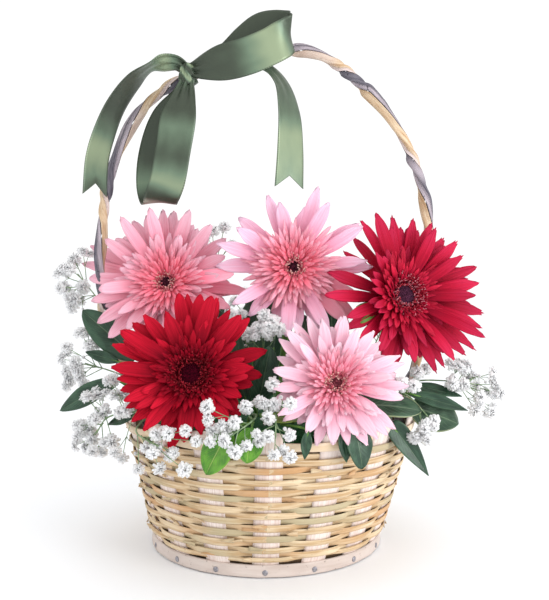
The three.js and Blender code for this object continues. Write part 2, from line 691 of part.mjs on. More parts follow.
const handleRoute = new THREE.CatmullRomCurve3(
  HANDLE_ROUTE.map(([x, z]) => new THREE.Vector3(x, 0, z)), false, 'centripetal',
);

function handleRod(phase) {
  const section = new THREE.Shape(Array.from({ length: ROD_SIDES }, (_, i) => {
    const angle = (i / ROD_SIDES) * 2 * Math.PI;
    return new THREE.Vector2(ROD_RADIUS * Math.cos(angle), ROD_RADIUS * Math.sin(angle));
  }));
  return solidOf(new THREE.ExtrudeGeometry(section, {
    extrudePath: new TwistedRod(handleRoute, phase), steps: ROD_STEPS, bevelEnabled: false,
  }));
}

// Ribbon

// A ribbon along its rows; a tail's end is notched, and only tails have a middle line
function ribbonStrip(rows, notched) {
  const middles = rows.map((row) => point(row.slice(0, 3)));
  return skin(rows.map((row, i) => {
    const before = middles[Math.max(i - 1, 0)];
    const after = middles[Math.min(i + 1, rows.length - 1)];
    const along = after.clone().sub(before).normalize();
    const across = point(row.slice(3, 6));
    across.addScaledVector(along, -along.dot(across)).normalize();
    const face = new THREE.Vector3().crossVectors(along, across);
    const pulled = notched && i === rows.length - 1 ? -RIBBON_NOTCH : 0;
    const at = (side, layer) => middles[i].clone()
      .addScaledVector(across, (side * row[6]) / 2)
      .addScaledVector(along, side === 0 ? pulled : 0)
      .addScaledVector(face, (layer * RIBBON_THICKNESS) / 2);
    if (!notched) return [at(-1, -1), at(1, -1), at(1, 1), at(-1, 1)];
    return [at(-1, -1), at(0, -1), at(1, -1), at(1, 1), at(0, 1), at(-1, 1)];
  }));
}

// Loops and tails gathered in a knot, whose ring goes round both rods
function ribbonBow() {
  const [inner, outer, width] = KNOT_RING;
  const place = nearestOnHandle(KNOT_PLACE[0]);
  const ring = turned([
    [inner, -width / 2], [outer, -width / 2], [outer, width / 2], [inner, width / 2],
    [inner, -width / 2],
  ], 12);
  ring.rotateY(Math.atan2(place.along.x, place.along.z));
  ring.translate(...place.middle);
  const lump = new THREE.SphereGeometry(1, 6, 5);
  lump.scale(...KNOT_SIZE);
  lump.translate(...KNOT_PLACE);
  return join([
    ring, lump, ribbonStrip(UPPER_LOOP, false), ribbonStrip(HANGING_LOOP, false),
    ribbonStrip(RIGHT_TAIL, true), ribbonStrip(LEFT_TAIL, true),
  ]);
}

// The handle's middle line at the given x, on the upper half of the arch
function nearestOnHandle(x) {
  const samples = Array.from({ length: 801 }, (_, i) => i / 800);
  const upper = samples.filter((t) => handleRoute.getPointAt(t).z > 300);
  const distance = (t) => Math.abs(handleRoute.getPointAt(t).x - x);
  const best = upper.reduce((found, t) => (distance(t) < distance(found) ? t : found));
  return { middle: handleRoute.getPointAt(best), along: handleRoute.getTangentAt(best) };
}

// Stems: each stands upright in the foam and then leads to its first fork

function stemPoints(root, depth, ...rest) {
  const foot = new THREE.Vector3(...root, FOAM_TOP - depth);
  const entry = new THREE.Vector3(...root, FOAM_TOP + STEM_RISE);
  return [foot, entry, ...rest];
}

// Blooms, each built round its own facing axis: x to the viewer's right, y up, z facing out

function facing(bloom) {
  const turn = radians(bloom.turn);
  const tilt = radians(bloom.tilt);
  const out = new THREE.Vector3(
    Math.sin(turn) * Math.cos(tilt), -Math.cos(turn) * Math.cos(tilt), Math.sin(tilt),
  );
  const right = new THREE.Vector3(Math.cos(turn), Math.sin(turn), 0);
  const up = new THREE.Vector3().crossVectors(out, right);
  const middle = point(bloom.eye).addScaledVector(out, -(CORE_TOP + EYE_RISE));
  return new THREE.Matrix4().makeBasis(right, up, out).setPosition(middle);
}

// A petal's place in the bloom's own frame, found along the line of sight to its tip
function placeSeen(bloom, { clock, reach, lift, height, root }) {
  const toOwn = facing(bloom).invert();
  const angle = radians(clock);
  const seen = point(bloom.eye).add(new THREE.Vector3(Math.sin(angle), 0, Math.cos(angle))
    .multiplyScalar(reach)).applyMatrix4(toOwn);
  const viewer = point(VIEWPOINT).applyMatrix4(toOwn);
  const sight = seen.sub(viewer);
  const tip = new THREE.Vector3();
  let high = height;
  for (let round = 0; round < 6; round += 1) {
    tip.copy(viewer).addScaledVector(sight, (high - viewer.z) / sight.z);
    high = height + (Math.hypot(tip.x, tip.y) - root) * Math.tan(radians(lift));
  }
  return {
    clock: THREE.MathUtils.radToDeg(Math.atan2(tip.x, tip.y)), reach: Math.hypot(tip.x, tip.y),
    lift, height, root,
  };
}

function petal({ clock, reach, lift, root, height, width, thickness }) {
  const angle = radians(clock);
  const outward = new THREE.Vector3(Math.sin(angle), Math.cos(angle), 0);
  const across = new THREE.Vector3(Math.cos(angle), -Math.sin(angle), 0);
  const slope = radians(lift);
  const length = (reach - root) / Math.cos(slope);
  const spine = PETAL_STATIONS.map((t) => {
    const rise = height + length * (t * Math.sin(slope) + PETAL_BOW * t * (1 - t));
    return outward.clone().multiplyScalar(root + length * t * Math.cos(slope)).setZ(rise);
  });
  return blade(spine, PETAL_WIDTHS.map((share) => share * width), across, thickness, 0.05);
}

function floretRing(count, { reach, lift, root, height, width }) {
  return Array.from({ length: count }, (_, i) => petal({
    clock: ((i + 0.7 * wobble(i, count)) / count) * 360,
    reach: reach * (0.86 + 0.28 * wobble(i, count + 1)),
    lift: lift + 8 * wobble(i, count + 2),
    root, height, width, thickness: FLORET_THICKNESS,
  }));
}

function bloomPetals(bloom) {
  const core = turned([
    [0, CORE_BACK], [bloom.core, CORE_BACK + 2], [bloom.core - 1, CORE_TOP], [0, CORE_TOP],
  ], 8);
  const outer = bloom.petals.map(([clock, reach, ownLift], i) => {
    const layer = OUTER_LAYERS[i % OUTER_LAYERS.length];
    const lift = ownLift ?? layer.lift + (bloom.lean ?? 0) * Math.sin(radians(clock));
    const height = ownLift < 0 ? -1 : layer.height;
    const seen = placeSeen(bloom, { clock, reach, lift, height, root: PETAL_ROOT });
    return petal({ ...seen, width: bloom.petalWidth, thickness: PETAL_THICKNESS });
  });
  const florets = floretRing(OUTER_FLORETS, {
    reach: bloom.floretReach, lift: 26, root: bloom.core - 7, height: 0.5, width: 5,
  });
  const innermost = floretRing(INNER_FLORETS, {
    reach: bloom.core + 7, lift: 50, root: bloom.eyeRadius + 0.5, height: 1.2, width: 3.6,
  });
  return join([core, ...outer, ...florets, ...innermost]);
}

function bloomEye(bloom) {
  const base = CORE_TOP + TOUCH_GAP;
  return solidOf(turned([
    [0, base], [bloom.eyeRadius, base], [bloom.eyeRadius * 0.8, CORE_TOP + EYE_RISE * 0.8],
    [0, CORE_TOP + EYE_RISE],
  ], 8));
}

// The stem rises from the foam and bends into the back of the bloom, where green bracts hold it
function bloomStem(bloom) {
  const frame = facing(bloom);
  const back = CORE_BACK - TOUCH_GAP;
  const calyx = turned([
    [0, back - CALYX_LENGTH], [BLOOM_STEM_RADIUS, back - CALYX_LENGTH], [CALYX_RADIUS, back - 3],
    [CALYX_RADIUS, back], [0, back],
  ], 6).applyMatrix4(frame);
  const behind = (distance) =>
    new THREE.Vector3(0, 0, back - CALYX_LENGTH - distance).applyMatrix4(frame);
  const points = stemPoints(bloom.root, BLOOM_STEM_DEPTH, behind(18), behind(6), behind(-2));
  return join([calyx, stalk(points, BLOOM_STEM_RADIUS, 5)]);
}

// Leaves

// A leaf and its stalk in one: the blade begins as narrow as the stalk
function leaf(fork, { base, tip, width, face }) {
  const from = point(base);
  const run = point(tip).sub(from);
  const across = new THREE.Vector3().crossVectors(run, point(face)).normalize();
  const up = new THREE.Vector3().crossVectors(across, run).normalize();
  const spine = LEAF_STATIONS.map((t) =>
    from.clone().addScaledVector(run, t).addScaledVector(up, LEAF_BOW * width * t * (1 - t)));
  const widths = LEAF_WIDTHS.map((share) => share * width);
  return blade(
    [fork, from, ...spine], [LEAF_STALK_WIDTH, LEAF_STALK_WIDTH, ...widths], across, LEAF_THICKNESS,
    LEAF_CUP,
  );
}

function sprig({ root, fork, leaves }) {
  const end = point(fork);
  const stem = stalk(stemPoints(root, LEAF_STEM_DEPTH, end), LEAF_STEM_RADIUS, 4);
  return join([stem, ...leaves.map((shape) => leaf(end, shape))]);
}

// Gypsophila

// A twig that ends in a small star of petals, which looks along the twig
function floret(middle, from) {
  const out = middle.clone().sub(from).normalize();
  const lead = new THREE.Vector3(0.3, 0.2, 1);
  const throat = middle.clone().addScaledVector(out, -FLORET_DEPTH);
  const rim = ringAround(middle, out, lead, FLORET_RADIUS, 2 * FLORET_PETALS).map((corner, i) => (
    i % 2 === 0 ? corner : corner.lerp(middle, FLORET_NOTCH).addScaledVector(out, -0.6)
  ));
  return skin([
    ringAround(from, out, lead, TWIG_RADIUS, FLORET_PETALS),
    ringAround(throat, out, lead, TWIG_RADIUS, FLORET_PETALS),
    rim,
    [middle.clone().addScaledVector(out, FLORET_DEPTH / 2)],
  ]);
}

// Where a twig leaves the branches: some way before the place nearest to its floret
function twigRoot(forks, middle) {
  const places = forks.slice(1).map((to, i) => {
    const branch = new THREE.Line3(forks[i], to);
    const share = branch.closestPointToPointParameter(middle, true);
    const nearest = branch.at(share, new THREE.Vector3());
    const distance = nearest.distanceTo(middle);
    const earlier = Math.max(share - (TWIG_SLANT * distance) / branch.distance(), 0.06);
    return { distance, place: branch.at(earlier, new THREE.Vector3()) };
  });
  return places.reduce((found, next) => (next.distance < found.distance ? next : found)).place;
}

function spray({ root, forks, florets }) {
  const chain = forks.map(point);
  const stem = stalk(stemPoints(root, SPRAY_STEM_DEPTH, ...chain), SPRAY_STEM_RADIUS, 4);
  const heads = florets.map(point).map((middle) => floret(middle, twigRoot(chain, middle)));
  return join([stem, ...heads]);
}

// Assembly

const arrangement = new THREE.Group();
arrangement.name = 'flower_basket_arrangement';

const stemsInFoam = [
  ...Object.values(BLOOMS).map(({ root }) =>
    ({ root, depth: BLOOM_STEM_DEPTH, radius: BLOOM_STEM_RADIUS })),
  ...Object.values(SPRIGS).map(({ root }) =>
    ({ root, depth: LEAF_STEM_DEPTH, radius: LEAF_STEM_RADIUS })),
  ...Object.values(SPRAYS).map(({ root }) =>
    ({ root, depth: SPRAY_STEM_DEPTH, radius: SPRAY_STEM_RADIUS })),
];

arrangement.add(
  mesh('base_board', baseBoard(), FINISHES.board),
  mesh('base_band', baseBand(), FINISHES.band),
  mesh('woven_wall', wovenWall(), FINISHES.weave),
  mesh('liner_tub', linerTub(), FINISHES.liner),
  mesh('floral_foam', floralFoam(stemsInFoam), FINISHES.foam),
  mesh('handle_bark_rod', handleRod(0), FINISHES.bark),
  mesh('handle_peeled_rod', handleRod(Math.PI), FINISHES.peeled),
  mesh('ribbon_bow', ribbonBow(), FINISHES.ribbon),
);

for (const [name, bloom] of Object.entries(BLOOMS)) {
  const frame = facing(bloom);
  const petals = mesh(`${name}_petals`, bloomPetals(bloom), { color: bloom.colour, roughness: 0.6 });
  const eye = mesh(`${name}_eye`, bloomEye(bloom), FINISHES.eye);
  for (const piece of [petals, eye]) piece.applyMatrix4(frame);
  arrangement.add(petals, eye, mesh(`${name}_stem`, bloomStem(bloom), FINISHES.stem));
}

for (const [name, parts] of Object.entries(SPRIGS)) {
  const finish = name.includes('bright') ? FINISHES.brightLeaf : FINISHES.leaf;
  arrangement.add(mesh(name, sprig(parts), finish));
}

for (const [name, parts] of Object.entries(SPRAYS)) {
  arrangement.add(mesh(name, spray(parts), FINISHES.gypsophila));
}

export default arrangement;
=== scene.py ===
# Flower basket arrangement, dressed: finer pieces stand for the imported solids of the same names.
# Places and sizes are in millimetres, as in the part's source; piece() turns them into metres.
import math
import random

import bmesh
import bpy
import numpy as np
from mathutils import Matrix, Vector, noise


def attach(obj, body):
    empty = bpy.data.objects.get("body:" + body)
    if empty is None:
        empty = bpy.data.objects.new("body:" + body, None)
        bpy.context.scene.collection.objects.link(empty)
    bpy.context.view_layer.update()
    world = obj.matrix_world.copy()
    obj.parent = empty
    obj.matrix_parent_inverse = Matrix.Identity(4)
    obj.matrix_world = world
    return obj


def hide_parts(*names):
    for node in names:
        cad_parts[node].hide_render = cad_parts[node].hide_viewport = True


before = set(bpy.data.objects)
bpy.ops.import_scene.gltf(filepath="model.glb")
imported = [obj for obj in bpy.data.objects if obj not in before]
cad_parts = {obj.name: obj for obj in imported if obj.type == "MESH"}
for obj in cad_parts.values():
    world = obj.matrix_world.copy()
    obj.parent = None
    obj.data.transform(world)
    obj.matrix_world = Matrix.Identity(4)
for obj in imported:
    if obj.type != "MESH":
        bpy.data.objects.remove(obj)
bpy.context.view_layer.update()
MM = 0.001
TAU = 2 * math.pi

# Basket
STAKES = 16
BAND_RADIUS = 84
BAND_HEIGHTS = [0.8, 9.4]
NAIL_HEIGHT = 4.2
NAIL_RADIUS = 1.95
WALL_RADIUS = 84.5
WALL_FLARE = 0.285
# How far inside the wall's outside the stakes lie, and the dark sheet of painted shade behind the weave
STAKE_INSET = 0.6
BACK_INSET = 3.4
WEAVE_BOTTOM = 10.5
WEAVE_ROWS = 19
WEAVE_PITCH = 4.1
# How far a strip goes out over a stake and in behind it
WEAVE_SWING = 1.75
STRIP_WIDTH = 4.6
STRIP_HALF_THICKNESS = 0.62
LOOSE_ENDS = 110
RIM_STRIP = [91, 97.5]
RIM_SWING = 1.7
RIM_HALF_THICKNESS = 0.7
# The wall's radius on average
MIDDLE_RADIUS = 95
STAKE_FOOT = 1.1
STAKE_FOOT_RADIUS = 80.4
STAKE_TOP = 104
STAKE_WIDTH = 17.5
# How far the foot is drawn out to the left, and up to where
FOOT_STRETCH = 6.5
STRETCH_TOP = 78
FOAM_TOP = 102

# Handle: middle line of the two twisted rods in the plane of the arch, as x and z
HANDLE_ROUTE = [
    [-89.5, 57], [-99.6, 93], [-101.6, 105], [-110, 126], [-124, 165], [-129.5, 205], [-128, 232],
    [-123.5, 266], [-114, 296], [-97, 325], [-73, 345], [-41, 357], [-8, 367], [22, 370], [42, 364],
    [72, 341], [99, 307], [114, 271], [120, 236], [119, 190], [113, 140], [101.6, 105], [99.6, 93],
    [89.5, 57],
]
ROD_GAP = 0.35
ROD_DEPTH = 4.5
ROD_WIDTH = 7.6
HANDLE_STEPS = 480
KNOT_STEPS = 640
# The handle's upper half, where the knot sits, is above this
HANDLE_ARCH = 300
# How many half turns the rods have made, and how far along they have made them
HALF_TURNS = [
    -4, -3, -2, -1.2, -0.35, -0.15, 0.05, 0.5, 1, 1.5, 1.75, 2, 2.5, 3, 4, 5, 6, 6.2, 6.5, 7, 7.5, 8,
    8.15, 8.5, 9, 9.5, 10, 10.5, 12, 13, 14,
]
TURN_PLACES = [
    0, 0.05, 0.1, 0.15, 0.2, 0.225, 0.245, 0.262, 0.28, 0.3, 0.33, 0.36, 0.385, 0.405, 0.45, 0.495, 0.54,
    0.563, 0.575, 0.585, 0.6, 0.615, 0.655, 0.68, 0.695, 0.712, 0.74, 0.78, 0.86, 0.93, 1,
]

# Ribbon: rows of middle point, direction across the ribbon, and width
RIBBON_WIDTH = 25
RIBBON_NOTCH = 9
RIBBON_STEP = 1.4
KNOT_PLACE = [-61, -11.5, 349]
KNOT_SIZE = [6.5, 5, 9]
# The band round both rods: inner and outer radius, and width
KNOT_RING = [5.7, 7.4, 9]
UPPER_LOOP = [
    [-59, -12, 353, 0, 0, 1, 9], [-50, -18, 353, -0.1, 0, 1, 17], [-35, -23, 355, -0.24, -0.1, 0.97, 25],
    [-17, -25, 359, -0.21, -0.1, 0.97, 26], [0, -23.5, 366.5, -0.06, 0, 1, 26],
    [8, -21.5, 371.4, -0.04, 0, 1, 26], [12.8, -17.5, 375.6, 0, 0, 1, 25.5], [15, -13, 380, 0, 0, 1, 25],
    [12.6, -9.5, 383, -0.5, 0, 0.9, 25], [5, -8.5, 384.3, -0.5, 0, 0.9, 25],
    [-5, -8.2, 383, -0.5, 0, 0.88, 25], [-16, -8.4, 375.5, -0.58, 0, 0.82, 24],
    [-31, -9, 364, -0.45, 0, 0.9, 19], [-45, -10, 358, -0.2, 0, 1, 13], [-56, -10.5, 353, 0, 0, 1, 8],
]
HANGING_LOOP = [
    [-61, -13, 345, 1, 0, 0, 9], [-63, -20, 332, 1, 0, 0, 17], [-66, -25, 317, 1, 0, 0, 25],
    [-70, -26, 292, 1, 0, 0.05, 25], [-74.5, -24, 270, 1, 0, 0.08, 25],
    [-79, -20, 259.5, 1, 0, 0.04, 24.5], [-82, -13.5, 255, 1, 0, 0, 24.5],
    [-85.5, -7, 259.5, 1, 0, -0.03, 25], [-88, -4, 270, 1, 0, -0.05, 25], [-86, -4, 292, 1, 0, -0.05, 25],
    [-77, -8, 317, 1, 0, 0, 23], [-66, -11, 334, 1, 0, 0, 14], [-62, -11, 345, 1, 0, 0, 8],
]
RIGHT_TAIL = [
    [-58, -11, 353, 0, 0, 1, 8], [-47, -13, 354, 0, 0.1, 1, 12], [-32, -15, 356, 0, 0.3, 0.95, 13],
    [-16, -16, 357, 0.1, 0.6, 0.8, 15], [-2, -15, 353.5, 0.4, 0.8, 0.4, 17],
    [8.5, -13, 342.5, 0.52, 0.85, 0.1, 22], [14, -13, 322, 0.64, 0.77, 0, 25],
    [15, -13, 295, 0.76, 0.65, 0, 25], [14, -13, 266, 0.84, 0.54, 0, 25],
]
LEFT_TAIL = [
    [-62, -11, 353, 0, 0.3, -0.95, 8], [-69, -13, 357.3, 0.05, 0.55, -0.83, 12],
    [-78, -13, 357.5, 0.15, 0.82, -0.55, 17], [-87, -14, 354.5, 0.03, 1, -0.05, 22],
    [-100, -15, 343.5, 0.16, 0.97, -0.14, 25], [-113, -16, 325.5, 0.3, 0.94, -0.14, 25],
    [-122, -16.5, 304.5, 0.42, 0.9, -0.08, 25], [-127, -17, 286, 0.46, 0.88, -0.04, 25],
    [-129, -17, 260, 0.5, 0.86, 0, 25],
]

# Blooms: eye, facing in degrees to the right and up, foot on the foam, sizes, and the outer petals
# as clock angle, reach and, where it differs, lift, as seen from the viewpoint
VIEWPOINT = [3, -600, 210]
PETAL_ROOT = 1.5
PETAL_BOW = 0.12
# Lift and height of every first, second and third outer petal
PETAL_LAYERS = [(3, -2.4), (10, -1.4), (17, -0.4)]
# The places along a petal where its breadth is given
PETAL_STATIONS = [0, 0.25, 0.6, 0.82, 0.93, 1]
CORE_BACK = -4
CORE_TOP = 5
EYE_RISE = 3
# The dome under the eye's buds
EYE_BASE = CORE_TOP + 0.3
EYE_DOME = EYE_RISE * 0.72
GOLDEN_ANGLE = 2.39996
# Threads for each millimetre of the eye's radius, and buds for each square one
THREADS = 10
EYE_BUDS = 2.2
CALYX_LENGTH = 10
# Rings of bracts behind the rays: how many, reach and lift
BRACT_RINGS = ((14, 11, 38), (14, 13, 24), (12, 15, 12))
STEM_RADIUS = 2.6
# How deep stems stand in the foam, and how far above it they begin to lean
STEM_DEPTH = 34
TWIG_DEPTH = 26
STEM_RISE = 4
BLOOMS = {
    "pink_left": {
        "eye": [-77, -20, 197], "turn": -6, "tilt": 16, "root": [-46, 4], "core": 11, "eyeRadius": 4.5,
        "floretReach": 29, "petalWidth": 9.5,
        "petals": [
            [4, 53], [17, 56], [40, 54], [56, 55, -4], [66, 48], [83, 51], [96, 62, -6], [112, 52],
            [128, 48], [143, 44], [158, 42], [173, 38], [190, 44], [205, 48], [218, 46], [227, 60, 10],
            [232, 52], [240, 60], [247, 49], [255, 58], [265, 50], [273, 58], [284, 63, -15],
            [295, 62, -17], [302, 54, 12], [312, 50], [323, 57], [332, 51], [344, 52], [350, 55],
            [357, 54],
        ],
    },
    "pink_back": {
        "eye": [17, -38, 208], "turn": 0, "tilt": 8, "root": [6, 0], "core": 11, "eyeRadius": 4.5,
        "floretReach": 28, "petalWidth": 9,
        "petals": [
            [11, 44], [18, 60], [27, 52], [55, 56], [62, 57], [85, 53, 7], [91, 57], [104, 50, 4],
            [117, 55, 6], [128, 58], [138, 57], [152, 54], [160, 48], [175, 46], [187, 51], [199, 50],
            [220, 48], [236, 52], [273, 56], [288, 58], [302, 50], [313, 53], [338, 55], [349, 48],
        ],
    },
    "pink_front": {
        "eye": [43, -98, 134], "turn": 5, "tilt": 20, "root": [30, -52], "core": 10, "eyeRadius": 4,
        "floretReach": 24, "petalWidth": 8.5,
        "petals": [
            [1, 43], [8, 43], [20, 37], [35, 41], [49, 39, -8], [65, 45, -6], [75, 46, -10], [95, 47],
            [104, 45], [126, 49], [134, 48], [143, 46], [156, 46], [169, 42], [184, 41, 15], [194, 34],
            [200, 43], [213, 38], [225, 37], [233, 43], [241, 44], [257, 41], [267, 42], [282, 42],
            [292, 42], [305, 47], [316, 48], [326, 48], [335, 47], [345, 43],
        ],
    },
    "red_left": {
        "eye": [-52, -85, 138], "turn": -2, "tilt": 22, "root": [-36, -46], "core": 13, "eyeRadius": 8,
        "floretReach": 25, "petalWidth": 9.5,
        "petals": [
            [0, 54], [7, 54], [13, 53], [20, 54], [30, 50], [40, 52], [47, 54], [70, 53], [82, 42],
            [88, 47], [100, 42], [113, 37], [123, 38], [132, 43], [143, 40], [160, 44], [171, 42, 17],
            [186, 46], [197, 53], [206, 42], [220, 50], [231, 51], [240, 49], [249, 48], [257, 48],
            [265, 49], [275, 54], [291, 55], [297, 50], [304, 54], [314, 50], [323, 51], [337, 44],
            [353, 54],
        ],
    },
    "red_right": {
        "eye": [97, -40, 188], "turn": 24, "tilt": 17, "lean": 7, "root": [64, -4], "core": 13,
        "eyeRadius": 8, "floretReach": 25, "petalWidth": 9.5, "sepals": [[260, 40], [245, 42]],
        "petals": [
            [6, 56], [16, 54], [25, 52], [35, 51], [45, 53], [56, 51], [67, 54], [79, 53], [91, 52],
            [101, 57], [110, 61], [118, 65], [126, 66], [135, 61], [143, 60], [153, 60], [160, 61],
            [172, 50], [186, 54], [197, 58], [206, 46], [222, 50, 8], [238, 50], [252, 46], [268, 60, 5],
            [285, 59, 3], [302, 56, -22], [316, 58, -22], [331, 62, -10], [340, 63], [350, 58],
        ],
    },
}

# Leaves: each sprig's foot on the foam, its fork, and its leaves as base, tip, width, facing
# and, where it differs, how early the blade is broadest
LEAF_BOW = 0.3
USUAL_PEAK = 0.9
SPRIGS = {
    "leaves_left_upper": [[-66, -20], [-93, -22, 132], [
        [[-99, -17, 140], [-140, -13, 175], 24, [0, -1, 0.2]],
        [[-112, -23, 138], [-136, -22, 145], 9, [0, -1, 0.3]],
    ]],
    "leaves_left_pointed": [[-72, -36], [-104, -33, 122], [
        [[-111, -32, 125], [-153, -30, 103], 17, [0, -0.8, 0.6]],
    ]],
    "leaves_left_low": [[-64, -44], [-86, -58, 108], [
        [[-91, -60, 106], [-113, -56, 98], 11, [0, -0.6, 0.8]],
    ]],
    "leaves_right_large": [[56, -48], [55, -62, 111], [
        [[57, -66, 114], [102, -74, 111], 25, [0, -0.6, 0.8]],
    ]],
    "leaves_right_round": [[68, -30], [88, -38, 113], [
        [[101, -38, 108], [134, -44, 96], 27, [0.1, -0.95, 0.35]],
    ]],
    "leaves_right_long": [[74, -14], [98, -20, 112], [
        [[98, -44, 118], [140, -46, 106], 11, [0.2, -0.8, 0.6]],
        [[104, -26, 121], [140, -28, 113], 10, [0, -0.7, 0.7]],
    ]],
    "leaves_right_hanging": [[64, -44], [82, -62, 110], [
        [[82, -70, 102], [108, -70, 66], 15, [0.3, -0.9, 0.1], 0.55],
    ]],
    "leaves_front_bright": [[-14, -72], [-11, -92, 107], [
        [[-25, -109, 105.5], [-40, -108, 77], 20, [-0.3, -0.9, 0.1]],
        [[-11, -110, 107], [-14, -115, 86], 18, [0, -1, 0.2]],
    ]],
    "leaves_front_olive": [[2, -70], [-6, -84, 110], [
        [[-3, -96, 110], [25, -91, 109], 11, [0, -0.5, 0.85]],
    ]],
    "leaves_front_small": [[16, -70], [8, -93, 106], [
        [[24, -110, 105.3], [22, -113, 88], 7, [0, -1, 0]],
    ]],
    "leaves_front_pair": [[44, -62], [47, -88, 111], [
        [[46, -103, 105.5], [49, -105, 84], 9, [0.4, -1, 0]],
        [[54, -100, 106], [59, -102, 79], 19, [0.6, -1, 0]],
    ]],
    "leaves_middle": [[-10, -46], [-12, -58, 110], [
        [[-8, -62, 114], [0, -66, 154], 20, [0.2, -1, 0]],
        [[-15, -60, 113], [-27, -58, 148], 16, [-0.3, -1, 0.1]],
    ]],
    "leaves_inner_left": [[-16, -16], [-18, -14, 122], [
        [[-22, -14, 130], [-44, -12, 178], 24, [-0.2, -1, 0]],
        [[-14, -14, 130], [-8, -10, 190], 30, [0.1, -1, 0]],
    ]],
    "leaves_inner_right": [[38, -14], [42, -16, 118], [
        [[38, -16, 124], [24, -14, 172], 26, [-0.1, -1, 0]],
        [[50, -18, 122], [76, -20, 148], 20, [0.2, -1, 0.2]],
    ]],
    "leaves_back_left": [[-46, 46], [-54, 58, 116], [
        [[-60, 62, 120], [-104, 78, 138], 26, [-0.3, 0.5, 0.8]],
        [[-54, 64, 120], [-62, 112, 124], 28, [-0.2, 0.5, 0.9]],
        [[-48, 62, 122], [-44, 66, 176], 28, [-0.2, 1, 0.1]],
    ]],
    "leaves_back_middle": [[2, 52], [2, 62, 116], [
        [[-6, 66, 120], [-18, 118, 118], 28, [0, 0.4, 0.9]],
        [[10, 66, 120], [26, 116, 122], 26, [0, 0.4, 0.9]], [[2, 62, 124], [4, 58, 186], 30, [0, 1, 0.1]],
    ]],
    "leaves_back_right": [[50, 44], [58, 54, 116], [
        [[64, 58, 120], [106, 76, 132], 26, [0.3, 0.5, 0.8]],
        [[58, 60, 121], [66, 108, 122], 26, [0.2, 0.5, 0.9]],
        [[52, 56, 124], [50, 52, 178], 28, [0.2, 1, 0.1]],
    ]],
}

# Gypsophila: each spray's foot on the foam, its chain of forks, and the middles of its florets
TWIG_SLANT = 0.6
# The rings of blades in a head: how many, their lift, and their length
HEAD_RINGS = ((8, -26, 4.5), (9, -8, 4.5), (9, 9, 4.1), (8, 25, 3.5), (6, 42, 2.9), (4, 62, 2.2))
# How much heads turn from their twigs towards the viewer
TO_VIEWER = Vector((0, -1.15, 0.2))
